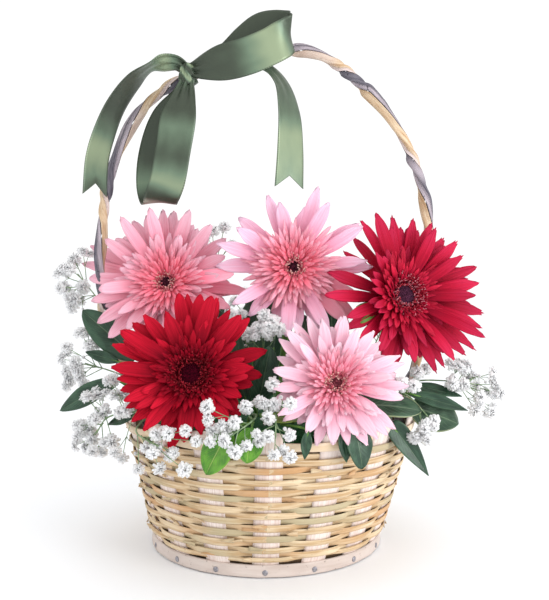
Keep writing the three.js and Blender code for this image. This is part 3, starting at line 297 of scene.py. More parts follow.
# What may stand beside a head: 1 for another head and 0 for a bud
FEW_BESIDE = ((), (1,), (0,), ())
MANY_BESIDE = ((1, 1), (1, 1, 0), (1,), (1, 0))
SPRAYS = {
    "gypsophila_left_upper": [[-74, 16], [[-112, 18, 150], [-136, 15, 184], [-150, 14, 202]], [
        [-146, 14, 220], [-154, 16, 214], [-156, 10, 206], [-166, 14, 203], [-163, 9, 191],
        [-160, 18, 189], [-146, 12, 192], [-151, 10, 183], [-155, 12, 176],
    ]],
    "gypsophila_left_middle": [[-76, -6], [[-112, -18, 128], [-138, -16, 136]], [
        [-142, -14, 159], [-134, -16, 150], [-152, -16, 148], [-157, -12, 139], [-145, -20, 137],
        [-153, -14, 130], [-142, -19, 126], [-153, -14, 119],
    ]],
    "gypsophila_left_low": [[-62, -56], [[-90, -72, 110], [-112, -62, 104], [-121, -54, 92]], [
        [-112, -45, 128], [-107, -54, 119], [-122, -46, 117], [-132, -42, 116], [-102, -68, 109],
        [-115, -58, 107], [-124, -52, 101], [-134, -45, 95], [-125, -52, 87], [-131, -46, 79],
        [-117, -58, 79], [-108, -66, 88], [-99, -76, 79],
    ]],
    "gypsophila_front_left": [[-50, -58], [[-80, -71, 107], [-87, -91, 101], [-70, -109, 95]], [
        [-71, -108, 103], [-63, -112, 104], [-52, -114, 106], [-45, -116, 100], [-79, -96, 91],
        [-72, -102, 92], [-60, -108, 91], [-70, -103, 79], [-53, -112, 81], [-86, -88, 75],
    ]],
    "gypsophila_front_middle": [[-12, -60], [[-9, -84, 110], [-12, -113, 111], [-24, -120, 104]], [
        [-39, -114, 121], [-30, -115, 110], [-22, -117, 112], [-37, -118, 100], [-28, -120, 101],
        [-21, -121, 94], [-14, -120, 98], [-15, -108, 120],
    ]],
    "gypsophila_front_right": [[12, -60], [[4, -84, 116], [4, -110, 116], [4, -118, 103]], [
        [-4, -108, 122], [3, -110, 122], [-1, -114, 114], [-8, -120, 105], [-1, -121, 104],
        [13, -118, 124], [13, -118, 104], [3, -120, 92], [13, -118, 90], [2, -98, 133],
    ]],
    "gypsophila_right_upper": [[76, -4], [[106, -16, 122], [128, -24, 124], [150, -22, 121]], [
        [140, -20, 134], [148, -14, 135], [152, -18, 127], [142, -28, 122], [132, -32, 123],
        [167, -16, 129], [166, -24, 121], [161, -16, 114], [172, -20, 113], [153, -32, 113],
        [149, -34, 104], [162, -30, 101], [107, -31, 131],
    ]],
    "gypsophila_right_low": [[72, -42], [[92, -56, 120], [108, -66, 106]], [
        [112, -68, 103], [104, -74, 99], [106, -74, 91], [88, -78, 130],
    ]],
    "gypsophila_middle": [[-2, -34], [[-6, -50, 128], [-4, -56, 156]], [
        [-15, -58, 162], [-8, -60, 165], [-4, -54, 174], [6, -66, 166], [-27, -42, 174],
    ]],
    "gypsophila_behind": [[-30, 24], [[-40, 28, 170], [-46, 26, 218]], [
        [-46, 24, 236], [-62, 24, 229], [-36, 26, 240], [-54, 30, 222], [-30, 30, 226],
    ]],
    "gypsophila_back_left": [[-66, 30], [[-84, 50, 140], [-94, 58, 162]], [
        [-104, 58, 172], [-92, 66, 176], [-82, 58, 180], [-112, 66, 160], [-98, 74, 162], [-108, 52, 154],
        [-86, 74, 154], [-118, 56, 148],
    ]],
    "gypsophila_back_right": [[66, 28], [[84, 44, 140], [94, 52, 160]], [
        [104, 52, 170], [92, 60, 174], [82, 52, 178], [112, 60, 158], [98, 68, 160], [108, 46, 152],
        [86, 68, 152], [118, 50, 146],
    ]],
    "gypsophila_back_middle": [[-22, 40], [[-22, 62, 150], [-22, 70, 172]], [
        [-22, 72, 186], [-32, 76, 178], [-12, 76, 178], [-26, 84, 168], [-14, 84, 166], [-36, 66, 168],
        [-8, 66, 188],
    ]],
}


# Smooth lines


def smooth_rows(rows, per_span):
    """A smooth line through rows that begin with a place, with their other numbers carried along."""
    rows = np.array(rows, float)
    ends = np.vstack([2 * rows[0] - rows[1], rows, 2 * rows[-1] - rows[-2]])
    spans = np.sqrt(np.linalg.norm(np.diff(ends[:, :3], axis=0), axis=1))
    result = []
    for i in range(len(rows) - 1):
        a, b, c, d = ends[i:i + 4]
        before, here, after = spans[i:i + 3]
        leaving = ((b - a) / before - (c - a) / (before + here) + (c - b) / here) * here
        arriving = ((c - b) / here - (d - b) / (here + after) + (d - c) / after) * here
        for t in np.linspace(0, 1, per_span, endpoint=False):
            result.append(
                (2 * t**3 - 3 * t**2 + 1) * b + (t**3 - 2 * t**2 + t) * leaving
                + (3 * t**2 - 2 * t**3) * c + (t**3 - t**2) * arriving
            )
    result.append(rows[-1])
    return np.array(result)


def evenly(rows, count):
    """The same line as count rows spaced evenly along its length."""
    steps = np.linalg.norm(np.diff(rows[:, :3], axis=0), axis=1)
    lengths = np.concatenate([[0], np.cumsum(steps)])
    wanted = np.linspace(0, lengths[-1], count)
    return np.array([np.interp(wanted, lengths, column) for column in rows.T]).T


def smooth_points(points, count):
    rows = evenly(smooth_rows([tuple(place) for place in points], 12), count)
    return [Vector(row) for row in rows]


def line_frames(points):
    """At each point the direction along the line and two directions beside it, without twist."""
    frames = []
    side = None
    for i, _ in enumerate(points):
        along = (points[min(i + 1, len(points) - 1)] - points[max(i - 1, 0)]).normalized()
        side = along.orthogonal() if side is None else side - along * side.dot(along)
        side.normalize()
        frames.append((along, side, along.cross(side)))
    return frames


def fade(start, end, value):
    """0 before start, 1 after end, and smooth between."""
    share = min(max((value - start) / (end - start), 0), 1)
    return share * share * (3 - 2 * share)


def rounded(value, power):
    """A sine or cosine drawn towards -1 or 1, for sections with round corners."""
    return math.copysign(abs(value) ** power, value)


def between(stations, values, place):
    """A smooth run through values at their stations."""
    for i in range(len(stations) - 1):
        if place <= stations[i + 1]:
            share = fade(stations[i], stations[i + 1], place)
            straight = (place - stations[i]) / (stations[i + 1] - stations[i])
            mixed = 0.45 * share + 0.55 * straight
            return values[i] + (values[i + 1] - values[i]) * mixed
    return values[-1]


# Mesh making


def start():
    """An empty mesh with a map, and with a tone for each vertex that its material may use."""
    bm = bmesh.new()
    bm.loops.layers.uv.new("UVMap")
    bm.verts.layers.float.new("tone")
    return bm


def sheet(bm, across, along, shape, tone=0.5, finish=0, grain=None):
    """A grid of cells moved by shape(u, v): u runs across from -1 to 1 and v along from 0 to 1."""
    grid = bmesh.ops.create_grid(bm, x_segments=across, y_segments=along, size=0.5, calc_uvs=True)
    verts = grid["verts"]
    tones = bm.verts.layers.float["tone"]
    uvs = bm.loops.layers.uv["UVMap"]
    for face in {face for vert in verts for face in vert.link_faces}:
        face.material_index = finish
        if grain:
            for loop in face.loops:
                uv = loop[uvs].uv
                loop[uvs].uv = (uv.x * grain[0], uv.y * grain[1])
    for vert in verts:
        u, v = 2 * vert.co.x, vert.co.y + 0.5
        vert[tones] = tone(u, v) if callable(tone) else tone
        vert.co = shape(u, v)


def turned(profile):
    """A shape for sheet(): a profile of radius and height turned round Z."""
    def shape(u, v):
        radius, height = profile[round(v * (len(profile) - 1))]
        return Vector((radius * math.cos(math.pi * u), radius * math.sin(math.pi * u), height))

    return shape


def rod(bm, points, radii, sides, tone=0.5, finish=0):
    """A round rod along the points, closed at both ends."""
    if not hasattr(radii, "__len__"):
        radii = [radii] * len(points)
    frames = line_frames(points)
    line = [points[0], *points, points[-1]]
    sizes = [0, *radii, 0]
    ways = [frames[0], *frames, frames[-1]]

    def shape(u, v):
        i = round(v * (len(line) - 1))
        angle = math.pi * u
        _, side, beside = ways[i]
        return line[i] + (side * math.cos(angle) + beside * math.sin(angle)) * sizes[i]

    sheet(bm, sides, len(line) - 1, shape, tone, finish)


def as_mesh(name, bm):
    """Ends the making of a mesh."""
    mesh = bpy.data.meshes.new(name)
    bm.to_mesh(mesh)
    bm.free()
    return mesh


def piece(name, bm, finishes, nodes=(), thickness=None, tidy=True):
    """Turns a mesh in millimetres into a piece of the model that stands for the given nodes."""
    if tidy:
        bmesh.ops.remove_doubles(bm, verts=bm.verts, dist=0.002)
        bmesh.ops.recalc_face_normals(bm, faces=bm.faces)
    bmesh.ops.scale(bm, vec=(MM, MM, MM), verts=bm.verts)
    mesh = as_mesh(name, bm)
    mesh.shade_smooth()
    for finish in finishes:
        mesh.materials.append(finish)
    made = bpy.data.objects.new(name, mesh)
    bpy.context.scene.collection.objects.link(made)
    if thickness:
        solid = made.modifiers.new("Thickness", "SOLIDIFY")
        solid.thickness = thickness * MM
        solid.offset = 0
    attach(made, "root")
    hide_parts(*nodes)
    return made


# Materials


def srgb(code):
    """A colour given as #rrggbb, in linear light."""
    parts = [int(code[i:i + 2], 16) / 255 for i in (1, 3, 5)]
    return [*(c / 12.92 if c < 0.04045 else ((c + 0.055) / 1.055) ** 2.4 for c in parts), 1]


class Wire:
    """A value in a shader tree. Arithmetic on it adds the nodes that work it out."""

    def __init__(self, tree, socket):
        self.tree = tree
        self.socket = socket

    def calc(self, operation, *others):
        return add(self.tree, "Math", dict(enumerate((self, *others))), operation=operation)

    def __add__(self, other):
        return self.calc("ADD", other)

    def __sub__(self, other):
        return self.calc("SUBTRACT", other)

    def __mul__(self, other):
        return self.calc("MULTIPLY", other)

    def __abs__(self):
        return self.calc("ABSOLUTE")


def add(tree, kind, inputs=None, output=0, **settings):
    """One output of a new node with its settings, and with values or wires as its inputs."""
    node = tree.nodes.new("ShaderNode" + kind)
    for key, value in settings.items():
        setattr(node, key, value)
    for key, value in (inputs or {}).items():
        if isinstance(value, Wire):
            tree.links.new(value.socket, node.inputs[key])
        else:
            node.inputs[key].default_value = value
    return Wire(tree, node.outputs[output])


def spread(value, low, high, to_low=0.0, to_high=1.0):
    """Maps a range of a value smoothly onto another."""
    return add(value.tree, "MapRange", {
        "Value": value, "From Min": low, "From Max": high, "To Min": to_low, "To Max": to_high,
    }, interpolation_type="SMOOTHSTEP")


def mix(share, first, second, blend="MIX"):
    """Two colours in shares. The Mix node's colours are its inputs 6 and 7 and its output 2."""
    tree = next(value.tree for value in (share, first, second) if isinstance(value, Wire))
    return add(tree, "Mix", {0: share, 6: first, 7: second}, 2, data_type="RGBA", blend_type=blend)


def ramp(share, low, middle_place, middle, high):
    """Runs through three colours."""
    made = add(share.tree, "ValToRGB", {"Fac": share})
    elements = made.socket.node.color_ramp.elements
    elements[0].color, elements[1].color = srgb(low), srgb(high)
    elements.new(middle_place).color = srgb(middle)
    return made


def vector(x, y, z=0.0):
    return add(x.tree, "CombineXYZ", {"X": x, "Y": y, "Z": z})


def cloudy(place, scale, detail=3.0, roughness=0.5):
    return add(place.tree, "TexNoise", {
        "Vector": place, "Scale": scale, "Detail": detail, "Roughness": roughness,
    })


def object_place(tree):
    return add(tree, "TexCoord", output="Object")


def surface(tree):
    """The two coordinates of a piece's own map, across and along, and its tone."""
    place = add(tree, "UVMap", uv_map="UVMap")
    across, along = (add(tree, "SeparateXYZ", {"Vector": place}, axis) for axis in (0, 1))
    return across, along, add(tree, "Attribute", output="Fac", attribute_name="tone")


def shader_group(name, build, **inputs):
    """A node group whose Color and Height are built from the map, the tone and its own inputs."""
    tree = bpy.data.node_groups.new(name, "ShaderNodeTree")
    for label, value in inputs.items():
        kind, value = ("Color", srgb(value)) if isinstance(value, str) else ("Float", value)
        socket = tree.interface.new_socket(label, in_out="INPUT", socket_type="NodeSocket" + kind)
        socket.default_value = value
    for label, kind in (("Color", "Color"), ("Height", "Float")):
        tree.interface.new_socket(label, in_out="OUTPUT", socket_type="NodeSocket" + kind)
    given = tree.nodes.new("NodeGroupInput").outputs
    made = build(*surface(tree), **{label: Wire(tree, given[label]) for label in inputs})
    result = tree.nodes.new("NodeGroupOutput").inputs
    for label, value in zip(("Color", "Height"), made):
        tree.links.new(value.socket, result[label])
    return tree


def petal_surface(u, v, tone, root, blade, tip, line, lines, vary, blade_from):
    """Colour from root to tip, with fine lines along the petal and a tone of its own for each."""
    shift = tone * 37.0
    wide = cloudy(vector(u * 5.0 + shift, v), 1.6)
    fine = cloudy(vector(u * 24.0 + shift, v * 1.4, shift), 1.0, 2.0)
    along = v + (wide - 0.5) * 0.5
    lower = mix(spread(along, 0.0, blade_from), root, blade)
    body = mix(spread(along, 0.5, 1.05), lower, tip)
    lined = mix(spread(fine, 0.5, 0.68) * lines, body, line)
    level = (tone - 0.5) * (vary * 2.0) + 1.0
    grey = add(u.tree, "CombineColor", {"Red": level, "Green": level, "Blue": level})
    return mix(1.0, lined, grey, "MULTIPLY"), fine


def wood_surface(u, v, tone, light, dark, stain, warm, cool, fibres, specks, change, split):
    """Long fibres along the map's second coordinate, with slow changes of colour and some specks."""
    shift = tone * 53.0
    fine = cloudy(vector(u * 9.0 + shift, v * 0.35, shift), 1.0, 4.0, 0.6)
    slow = cloudy(vector(u + shift, v * 0.3), 0.9)
    share = spread(fine, 0.35, 0.7) * fibres + spread(slow, 0.35, 0.7) * 0.45
    plain = mix(share.calc("MINIMUM", 1.0), light, dark)
    turn = cloudy(vector(tone * 19.0, v * 0.12), 1.0, 1.0)
    warmed = mix(spread(turn, 0.3, 0.46, 1.0, 0.0) * change, plain, warm)
    changed = mix(spread(turn, 0.5, 0.64) * change, warmed, cool)
    changed = mix(spread(tone, 0.4, 0.6) * split, changed, mix(share * 0.4, cool, dark))
    speck = cloudy(object_place(u.tree), 420.0, 2.0)
    return mix(spread(speck, 0.66, 0.74) * specks, changed, stain), fine


def leaf_surface(u, v, tone, blade, cloud, vein, rim, rim_share, veins):
    """A midrib with side veins, a rim of another colour, and clouds over the blade."""
    off = abs(u - 0.5)
    rib = spread(off, 0.012, 0.035, 1.0, 0.0)
    wave = abs((v * 9.0 - off * 7.0).calc("FRACT") - 0.5)
    side_veins = spread(wave, 0.0, 0.09, 1.0, 0.0) * spread(off, 0.32, 0.5, 1.0, 0.0)
    drawn = rib.calc("MAXIMUM", side_veins * 0.55)
    clouds = cloudy(vector(u + tone, v, tone * 9.0), 3.2)
    clouded = mix(spread(clouds, 0.35, 0.7), blade, cloud)
    veined = mix(drawn * veins, clouded, vein)
    return mix(spread(off, 0.44, 0.49) * rim_share, veined, rim), clouds * 0.5 - drawn


petal_group = shader_group(
    "petal surface", petal_surface, root="#e8748a", blade="#f0a0b8", tip="#f8c8dc", line="#d06080",
    lines=0.5, vary=0.12, blade_from=0.5,
)
wood_group = shader_group(
    "wood surface", wood_surface, light="#e6cfa4", dark="#c09a62", stain="#9c7448", warm="#d6a468",
    cool="#b9ab82", fibres=0.6, specks=0.2, change=0.0, split=0.0,
)
leaf_group = shader_group(
    "leaf surface", leaf_surface, blade="#2c5238", cloud="#4c7052", vein="#8aa37e", rim="#b9bd8c",
    rim_share=0.4, veins=0.4,
)


def material(name, **settings):
    """A material with the given values in its shader."""
    made = bpy.data.materials.new(name)
    made.use_nodes = True
    for socket, value in settings.items():
        made.node_tree.nodes["Principled BSDF"].inputs[socket.replace("_", " ")].default_value = value
    return made


def put(made, colour, height, relief, strength=1.0):
    """Leads a colour and a relief into a material's shader."""
    shader = made.node_tree.nodes["Principled BSDF"].inputs
    bump = add(made.node_tree, "Bump", {"Height": height, "Distance": relief, "Strength": strength})
    made.node_tree.links.new(colour.socket, shader["Base Color"])
    made.node_tree.links.new(bump.socket, shader["Normal"])
    return made


def grouped(made, group, relief, **values):
    """Gives a material the colour and relief of a shader group with these values."""
    node = made.node_tree.nodes.new("ShaderNodeGroup")
    node.node_tree = group
    for label, value in values.items():
        node.inputs[label].default_value = srgb(value) if isinstance(value, str) else value
    colour, height = (Wire(made.node_tree, node.outputs[label]) for label in ("Color", "Height"))
    return put(made, colour, height, relief)


def wood(name, light, dark, stain="#9c7448", fibres=0.6, specks=0.2, roughness=0.7, relief=0.00025,
         **more):
    made = material(name, Roughness=roughness, Specular_IOR_Level=0.3)
    return grouped(made, wood_group, relief, light=light, dark=dark, stain=stain, fibres=fibres,
                   specks=specks, **more)


def petal_finish(name, root, blade, tip, line, lines=0.45, vary=0.1, blade_from=0.5, shine=0.2):
    made = material(name, Roughness=0.55, Specular_IOR_Level=shine)
    return grouped(made, petal_group, 0.0003, root=root, blade=blade, tip=tip, line=line, lines=lines,
                   vary=vary, blade_from=blade_from)


def leaf_finish(name, blade, cloud, vein, rim, rim_share=0.3, veins=0.35, roughness=0.35, coat=0.3):
    made = material(name, Roughness=roughness, Specular_IOR_Level=0.3, Coat_Weight=coat,
                    Coat_Roughness=0.2)
    return grouped(made, leaf_group, 0.0004, blade=blade, cloud=cloud, vein=vein, rim=rim,
                   rim_share=rim_share, veins=veins)


def satin(name, dark, middle, light, tinged, picot, thread):
    """Woven satin: fine threads, and painted sheen that follows the tone, from painted shade to painted
    highlight; a low tone is tinged.
    """
    made = material(name, Roughness=0.36, Metallic=0.25, Specular_IOR_Level=0.4)
    u, v, tone = surface(made.node_tree)
    threads = cloudy(vector(u * 90.0, v * 150.0), 1.0, 2.0)
    patches = cloudy(vector(u * 1.6, v * 0.7), 2.0, 1.0)
    # Painted sheen: the tone, with patches over it, picks the dark colour as painted shade and the light
    # one as painted highlight
    painted_sheen = spread(tone + (patches - 0.5) * 0.2, 0.1, 0.95)
    painted_sheen_colour = ramp(painted_sheen, dark, 0.55, middle, light)
    painted_sheen_colour = mix(spread(tone, -0.4, -0.1, 1.0, 0.0), painted_sheen_colour, srgb(tinged))
    edge = spread(abs(u - 0.5), 0.455, 0.475)
    stitches = spread((v * 96.0).calc("SINE"), -0.4, 0.4, 0.0, 0.75)
    edged = mix(edge * stitches, painted_sheen_colour, srgb(picot))
    return put(made, mix(spread(threads, 0.4, 0.65) * 0.22, edged, srgb(thread)), threads, 0.00004, 0.5)


def speckled(name, first, second, scale, roughness=0.8, relief=0.0004, shine=0.25, **settings):
    """A grainy surface of two colours, for foam, florets and eyes."""
    made = material(name, Roughness=roughness, Specular_IOR_Level=shine, **settings)
    grains = cloudy(object_place(made.node_tree), scale, 3.0, 0.6)
    return put(made, mix(spread(grains, 0.38, 0.62), srgb(first), srgb(second)), grains, relief)


# Basket


def wall_radius(height):
    return WALL_RADIUS + WALL_FLARE * (height - WEAVE_BOTTOM)


def round_place(radius, angle, height):
    """A place on the basket; its foot is drawn out to the left, as on the real one."""
    x = radius * math.sin(angle)
    share = max(0, 1 - height / STRETCH_TOP)
    x -= FOOT_STRETCH * share * (1 - x / BAND_RADIUS) / 2
    return Vector((x, -radius * math.cos(angle), height))


def base_band():
    bm = start()
    low, high = BAND_HEIGHTS

    def shape(u, v):
        section = math.pi * u
        out, up = rounded(math.cos(section), 0.35), rounded(math.sin(section), 0.35)
        angle = TAU * v
        height = (low + high) / 2 + up * (high - low) / 2
        ripple = 0.25 * noise.noise(Vector((9 * math.cos(angle), 9 * math.sin(angle), 0)))
        return round_place(BAND_RADIUS - 1 + out + ripple, angle, height + 0.3 * ripple * up)

    sheet(bm, 16, 256, shape, grain=(2, 52))
    piece("base_band_strip", bm, [band_wood], ["base_band"])
    bm = start()
    for i in range(STAKES):
        angle = TAU * i / STAKES
        place = round_place(BAND_RADIUS + 0.1, angle, NAIL_HEIGHT)
        turn = Matrix.Translation(place) @ Matrix.Rotation(angle, 4, "Z")
        turn @= Matrix.Diagonal((1, 0.36, 1, 1))
        bmesh.ops.create_uvsphere(bm, u_segments=14, v_segments=9, radius=NAIL_RADIUS, matrix=turn,
                                  calc_uvs=True)
    piece("base_band_nails", bm, [nail_steel], ["base_band"])


def weave_strips():
    """Each strip goes over one stake and under the next, and is broad on a stake and narrow between."""
    bm = start()
    draw = random.Random(4)
    stake_angle = TAU / STAKES
    for row in range(WEAVE_ROWS):
        middle = WEAVE_BOTTOM + (row + 0.5) * WEAVE_PITCH
        broad = [draw.uniform(4.2, 5.7) for _ in range(STAKES)]
        sway = [draw.uniform(-0.6, 0.6) + (0.7 if row == 0 else 0) for _ in range(STAKES)]
        shade = [draw.random() for _ in range(STAKES)]

        def shape(u, v):
            place = v * STAKES
            stake, ahead = int(place + 0.5) % STAKES, (int(place) + 1) % STAKES
            wave = math.cos(math.pi * (place + row))
            share = fade(0, 1, place - int(place))
            drift = sway[int(place) % STAKES] * (1 - share) + sway[ahead] * share
            near = abs(wave) ** 0.8
            tall = STRIP_WIDTH + (broad[stake] - STRIP_WIDTH) * near * (1 if wave > 0 else 0.8)
            tall *= 0.8 if row == 0 else 1
            section = math.pi * u
            up = rounded(math.sin(section), 0.8)
            thick = STRIP_HALF_THICKNESS * math.cos(section)
            ragged = 0.3 * noise.noise(Vector((2.3 * place, 7.1 * row, up)))
            height = middle + drift + up * (tall / 2 + ragged)
            radius = wall_radius(height) - STAKE_INSET + WEAVE_SWING * rounded(wave, 0.6) + thick
            return round_place(radius, place * stake_angle, height)

        def tone(u, v):
            here = int((v * STAKES + 1 - row % 2) / 2) % STAKES
            return 0.5 * shade[here] + 0.5 * shade[-1]

        sheet(bm, 8, 14 * STAKES, shape, tone, grain=(1, 54))
    piece("weave_strips", bm, [strip_wood], ["woven_wall"])
    # A dark sheet inside the weave: painted shade that shows in the gaps between strips and stakes
    bm = start()

    def back(u, v):
        height = 8 + 88 * v
        return round_place(wall_radius(max(height, WEAVE_BOTTOM)) - BACK_INSET, math.pi * u, height)

    sheet(bm, 96, 6, back, grain=(52, 1))
    piece("weave_back", bm, [painted_shade_wood], ["woven_wall"], thickness=0.3)


def loose_ends():
    """Short ends of strips that stand off the weave a little."""
    bm = start()
    draw = random.Random(21)
    for _ in range(LOOSE_ENDS):
        angle, height = draw.uniform(0, TAU), draw.uniform(14, 88)
        length, tall = draw.uniform(5, 12), draw.uniform(1.6, 3.6)
        way, rise = draw.choice((-1, 1)), draw.uniform(-0.12, 0.12)

        def shape(u, v):
            up = u * tall / 2 * (1 - 0.75 * v * v)
            out = wall_radius(height) + 1.3 + 1.7 * v * v
            turn = way * v * length / MIDDLE_RADIUS
            return round_place(out, angle + turn, height + up + rise * v * length)

        sheet(bm, 2, 5, shape, draw.random())
    piece("loose_strip_ends", bm, [strip_wood], ["woven_wall"], thickness=0.5, tidy=False)


def wall_stakes():
    """Flat pale slats from the foot to above the rim."""
    bm = start()
    draw = random.Random(9)
    narrowing = [draw.uniform(-1, 1) for _ in range(STAKES)]
    for i in range(STAKES):
        angle = TAU * i / STAKES
        lean = draw.uniform(-0.8, 0.8)
        top = STAKE_TOP - draw.uniform(0, 1.5)

        def shape(u, v):
            height = STAKE_FOOT + v * (top - STAKE_FOOT)
            radius = wall_radius(max(height, WEAVE_BOTTOM)) - STAKE_INSET
            foot = 1 - fade(2, 16, height)
            radius = radius * (1 - foot) + STAKE_FOOT_RADIUS * foot
            across = u * STAKE_WIDTH / 2 + lean * v
            round_top = 1.2 * abs(u) ** 3 * fade(0.97, 1, v)
            across *= 1 - 0.1 * fade(0.2, 0.9, v) * narrowing[i]
            spot = round_place(radius - 0.02 * across * across, angle, height - round_top)
            return spot + Vector((math.cos(angle), math.sin(angle), 0)) * across

        sheet(bm, 8, 30, shape, draw.random(), grain=(1.7, 10))
    piece("wall_stakes", bm, [stake_wood], ["woven_wall"], thickness=1.3, tidy=False)


def rim_strip():
    """The pale strip at the rim, which also goes over and under."""
    bm = start()
    low, high = RIM_STRIP

    def shape(u, v):
        section = math.pi * u
        up = rounded(math.sin(section), 0.5)
        place = v * STAKES
        wave = math.cos(math.pi * (place + WEAVE_ROWS))
        height = (low + high) / 2 + up * (high - low) / 2 * (0.86 + 0.14 * abs(wave)) - 0.9
        radius = wall_radius(height) - STAKE_INSET + RIM_SWING * rounded(wave, 0.5)
        radius += RIM_HALF_THICKNESS * math.cos(section)
        return round_place(radius, place * TAU / STAKES, height)

    sheet(bm, 10, 16 * STAKES, shape, grain=(1, 54))
    piece("rim_strip", bm, [rim_wood], ["woven_wall"])


# Handle


def handle_line(count):
    rows = smooth_rows([(x, 0, z) for x, z in HANDLE_ROUTE], 24)
    return [Vector(row) for row in evenly(rows, count)]


def handle_rods():
    """Two split rods twisted round each other, flat side to flat side, each with a ridge outside."""
    middles = handle_line(HANDLE_STEPS)
    frames = line_frames(middles)
    last = len(middles) - 1
    for name, phase, finish, seed in (
        ("bark_rod", 0, bark, 3.0), ("peeled_rod", math.pi, peeled_wood, 17.0),
    ):
        def shape(u, v):
            step = round(v * (last + 2)) - 1
            i = min(max(step, 0), last)
            t = i / last
            along = frames[i][0]
            outward = Vector((-along.z, 0, along.x))
            turn = math.pi * between(TURN_PLACES, HALF_TURNS, t) + phase
            away = outward * math.cos(turn) + Vector((0, math.sin(turn), 0))
            beside = along.cross(away)
            slow = noise.noise(Vector((seed, 0, 14 * t)))
            knot = max(0, noise.noise(Vector((seed, 5, 34 * t))) - 0.32)
            girth = 1 + 0.14 * slow + 0.5 * knot if 0 <= step <= last else 0
            section = math.pi * u
            split = 1 + 0.3 * noise.noise(Vector((seed, 2 * u, 22 * t)))
            ridge = 1 - abs(math.sin(section)) ** 1.4 if abs(u) < 0.5 else 0
            deep = ROD_GAP + ROD_DEPTH * ridge * split
            return middles[i] + (away * deep + beside * ROD_WIDTH / 2 * math.sin(section)) * girth

        bm = start()
        sheet(bm, 16, last + 2, shape, lambda u, v: 0.85 if 0.2 < u < 0.55 else 0.15, grain=(1.4, 110))
        piece(f"{name}_grown", bm, [finish], [f"handle_{name}"])


# Ribbon


def ribbon_strip(name, rows, notched, pleat, painted_sheen):
    """A satin strip with pleats at the knot, a picot along both edges, and painted sheen along its
    length: a tone that stands for its highlights and shade.
    """
    bm = start()
    length = float(np.linalg.norm(np.diff(smooth_rows(rows, 12)[:, :3], axis=0), axis=1).sum())
    count = 2 * round(length / RIBBON_STEP)
    line = evenly(smooth_rows(rows, 16), count + 1)
    middles = [Vector(row[:3]) for row in line]

    def shape(u, v):
        i = round(v * count)
        along = (middles[min(i + 1, count)] - middles[max(i - 1, 0)]).normalized()
        across = Vector(line[i][3:6])
        across = (across - along * across.dot(along)).normalized()
        face = along.cross(across)
        width = line[i][6]
        gather = max(0, 1 - width / RIBBON_WIDTH)
        ripple = 2.4 * gather * math.cos(2.5 * math.pi * u + pleat)
        ripple *= fade(0, 0.04, min(v, 1 - v) + 0.03)
        edge = 0.22 * (-1) ** i if abs(u) > 0.99 else 0
        place = middles[i] + across * (u * width / 2 + math.copysign(edge, u)) + face * ripple
        if notched:
            place -= along * (RIBBON_NOTCH * (1 - abs(u)) * fade(0.86, 1, v))
        return place

    # The tone along the strip is painted sheen: high for a painted highlight, low for painted shade
    stations = [i / (len(painted_sheen) - 1) for i in range(len(painted_sheen))]
    sheet(bm, 14, count, shape, lambda u, v: between(stations, painted_sheen, v),
          grain=(1, length / RIBBON_WIDTH))
    strip = piece(f"ribbon_{name}", bm, [ribbon_satin], ["ribbon_bow"], thickness=0.4, tidy=False)


def ribbon_knot():
    """The crossed wrap in front and the band round both rods, both gathered into creases."""
    bm = start()
    size = Vector(KNOT_SIZE)

    def lump(u, v):
        turn = math.pi * u
        rise = math.pi * (v - 0.5)
        crumple = noise.noise(Vector((3 * math.cos(turn), 3 * math.sin(turn), 2.4 * v)))
        folds = 0.13 * math.cos(9 * turn + 3.5 * math.sin(3 * rise))
        crease = 1 + (folds + 0.3 * crumple) * math.cos(rise)
        waist = 1 - 0.16 * math.cos(2 * rise)
        place = Vector((
            math.cos(turn) * math.cos(rise) * crease * waist,
            math.sin(turn) * math.cos(rise) * crease * waist,
            math.sin(rise),
        ))
        return Vector(KNOT_PLACE) + Vector([place[k] * size[k] for k in range(3)])

    # Its tone, waving over the lump, is painted sheen: painted highlights and shade on the knot
    sheet(bm, 72, 36, lump, lambda u, v: 0.45 + 0.4 * math.sin(9 * u + 14 * v))
    middles = handle_line(KNOT_STEPS)
    place = min((m for m in middles if m.z > HANDLE_ARCH), key=lambda m: abs(m.x - KNOT_PLACE[0]))
    i = middles.index(place)
    along = (middles[i + 1] - middles[i - 1]).normalized()
    beside = Vector((-along.z, 0, along.x))
    inner, outer, width = KNOT_RING

    def band(u, v):
        section = math.pi * u
        turn = TAU * v
        crease = 0.35 * math.cos(4 * math.pi * u + 1.5 * math.sin(2 * turn))
        radius = (inner + outer) / 2 + (outer - inner) / 2 * math.cos(section) + crease * 0.5
        out = beside * math.cos(turn) + Vector((0, 1, 0)) * math.sin(turn)
        return place + out * radius + along * math.sin(section) * width / 2

    # The band's low tone is painted shade
    sheet(bm, 28, 40, band, 0.3)
    piece("ribbon_knot", bm, [ribbon_satin], ["ribbon_bow"])


def ribbon_bow():
    """The knot and four strips, each with its notch, its pleats' phase and its painted sheen along it."""
    ribbon_knot()
    # The last list on each row is painted sheen at even stations along the strip: 1 a painted highlight,
    # 0 painted shade, below zero the tinged colour
    for name, rows, notched, pleat, painted_sheen in (
        ("upper_loop", UPPER_LOOP, False, 0.4, [0, 0.15, 0.2, 0.6, 1, 0.2, 0, 0, 0, 0, 0.1]),
        ("hanging_loop", HANGING_LOOP, False, 1.2, [0.4, 0, 0.5, 0.25, 0.75, -0.4, 0.6, 0.1, 0, 0, 0]),
        ("right_tail", RIGHT_TAIL, True, 2.1, [0.2, 0.3, 0.5, 0.4, 0.3, 0.4, 0.8, 0.7, 0.6]),
        ("left_tail", LEFT_TAIL, True, 0.9, [0, 0.8, 0.3, 0, 0.1, 0.4, 0.9, 0.6, 0.3]),
    ):
        ribbon_strip(name, rows, notched, pleat, painted_sheen)


# Blooms


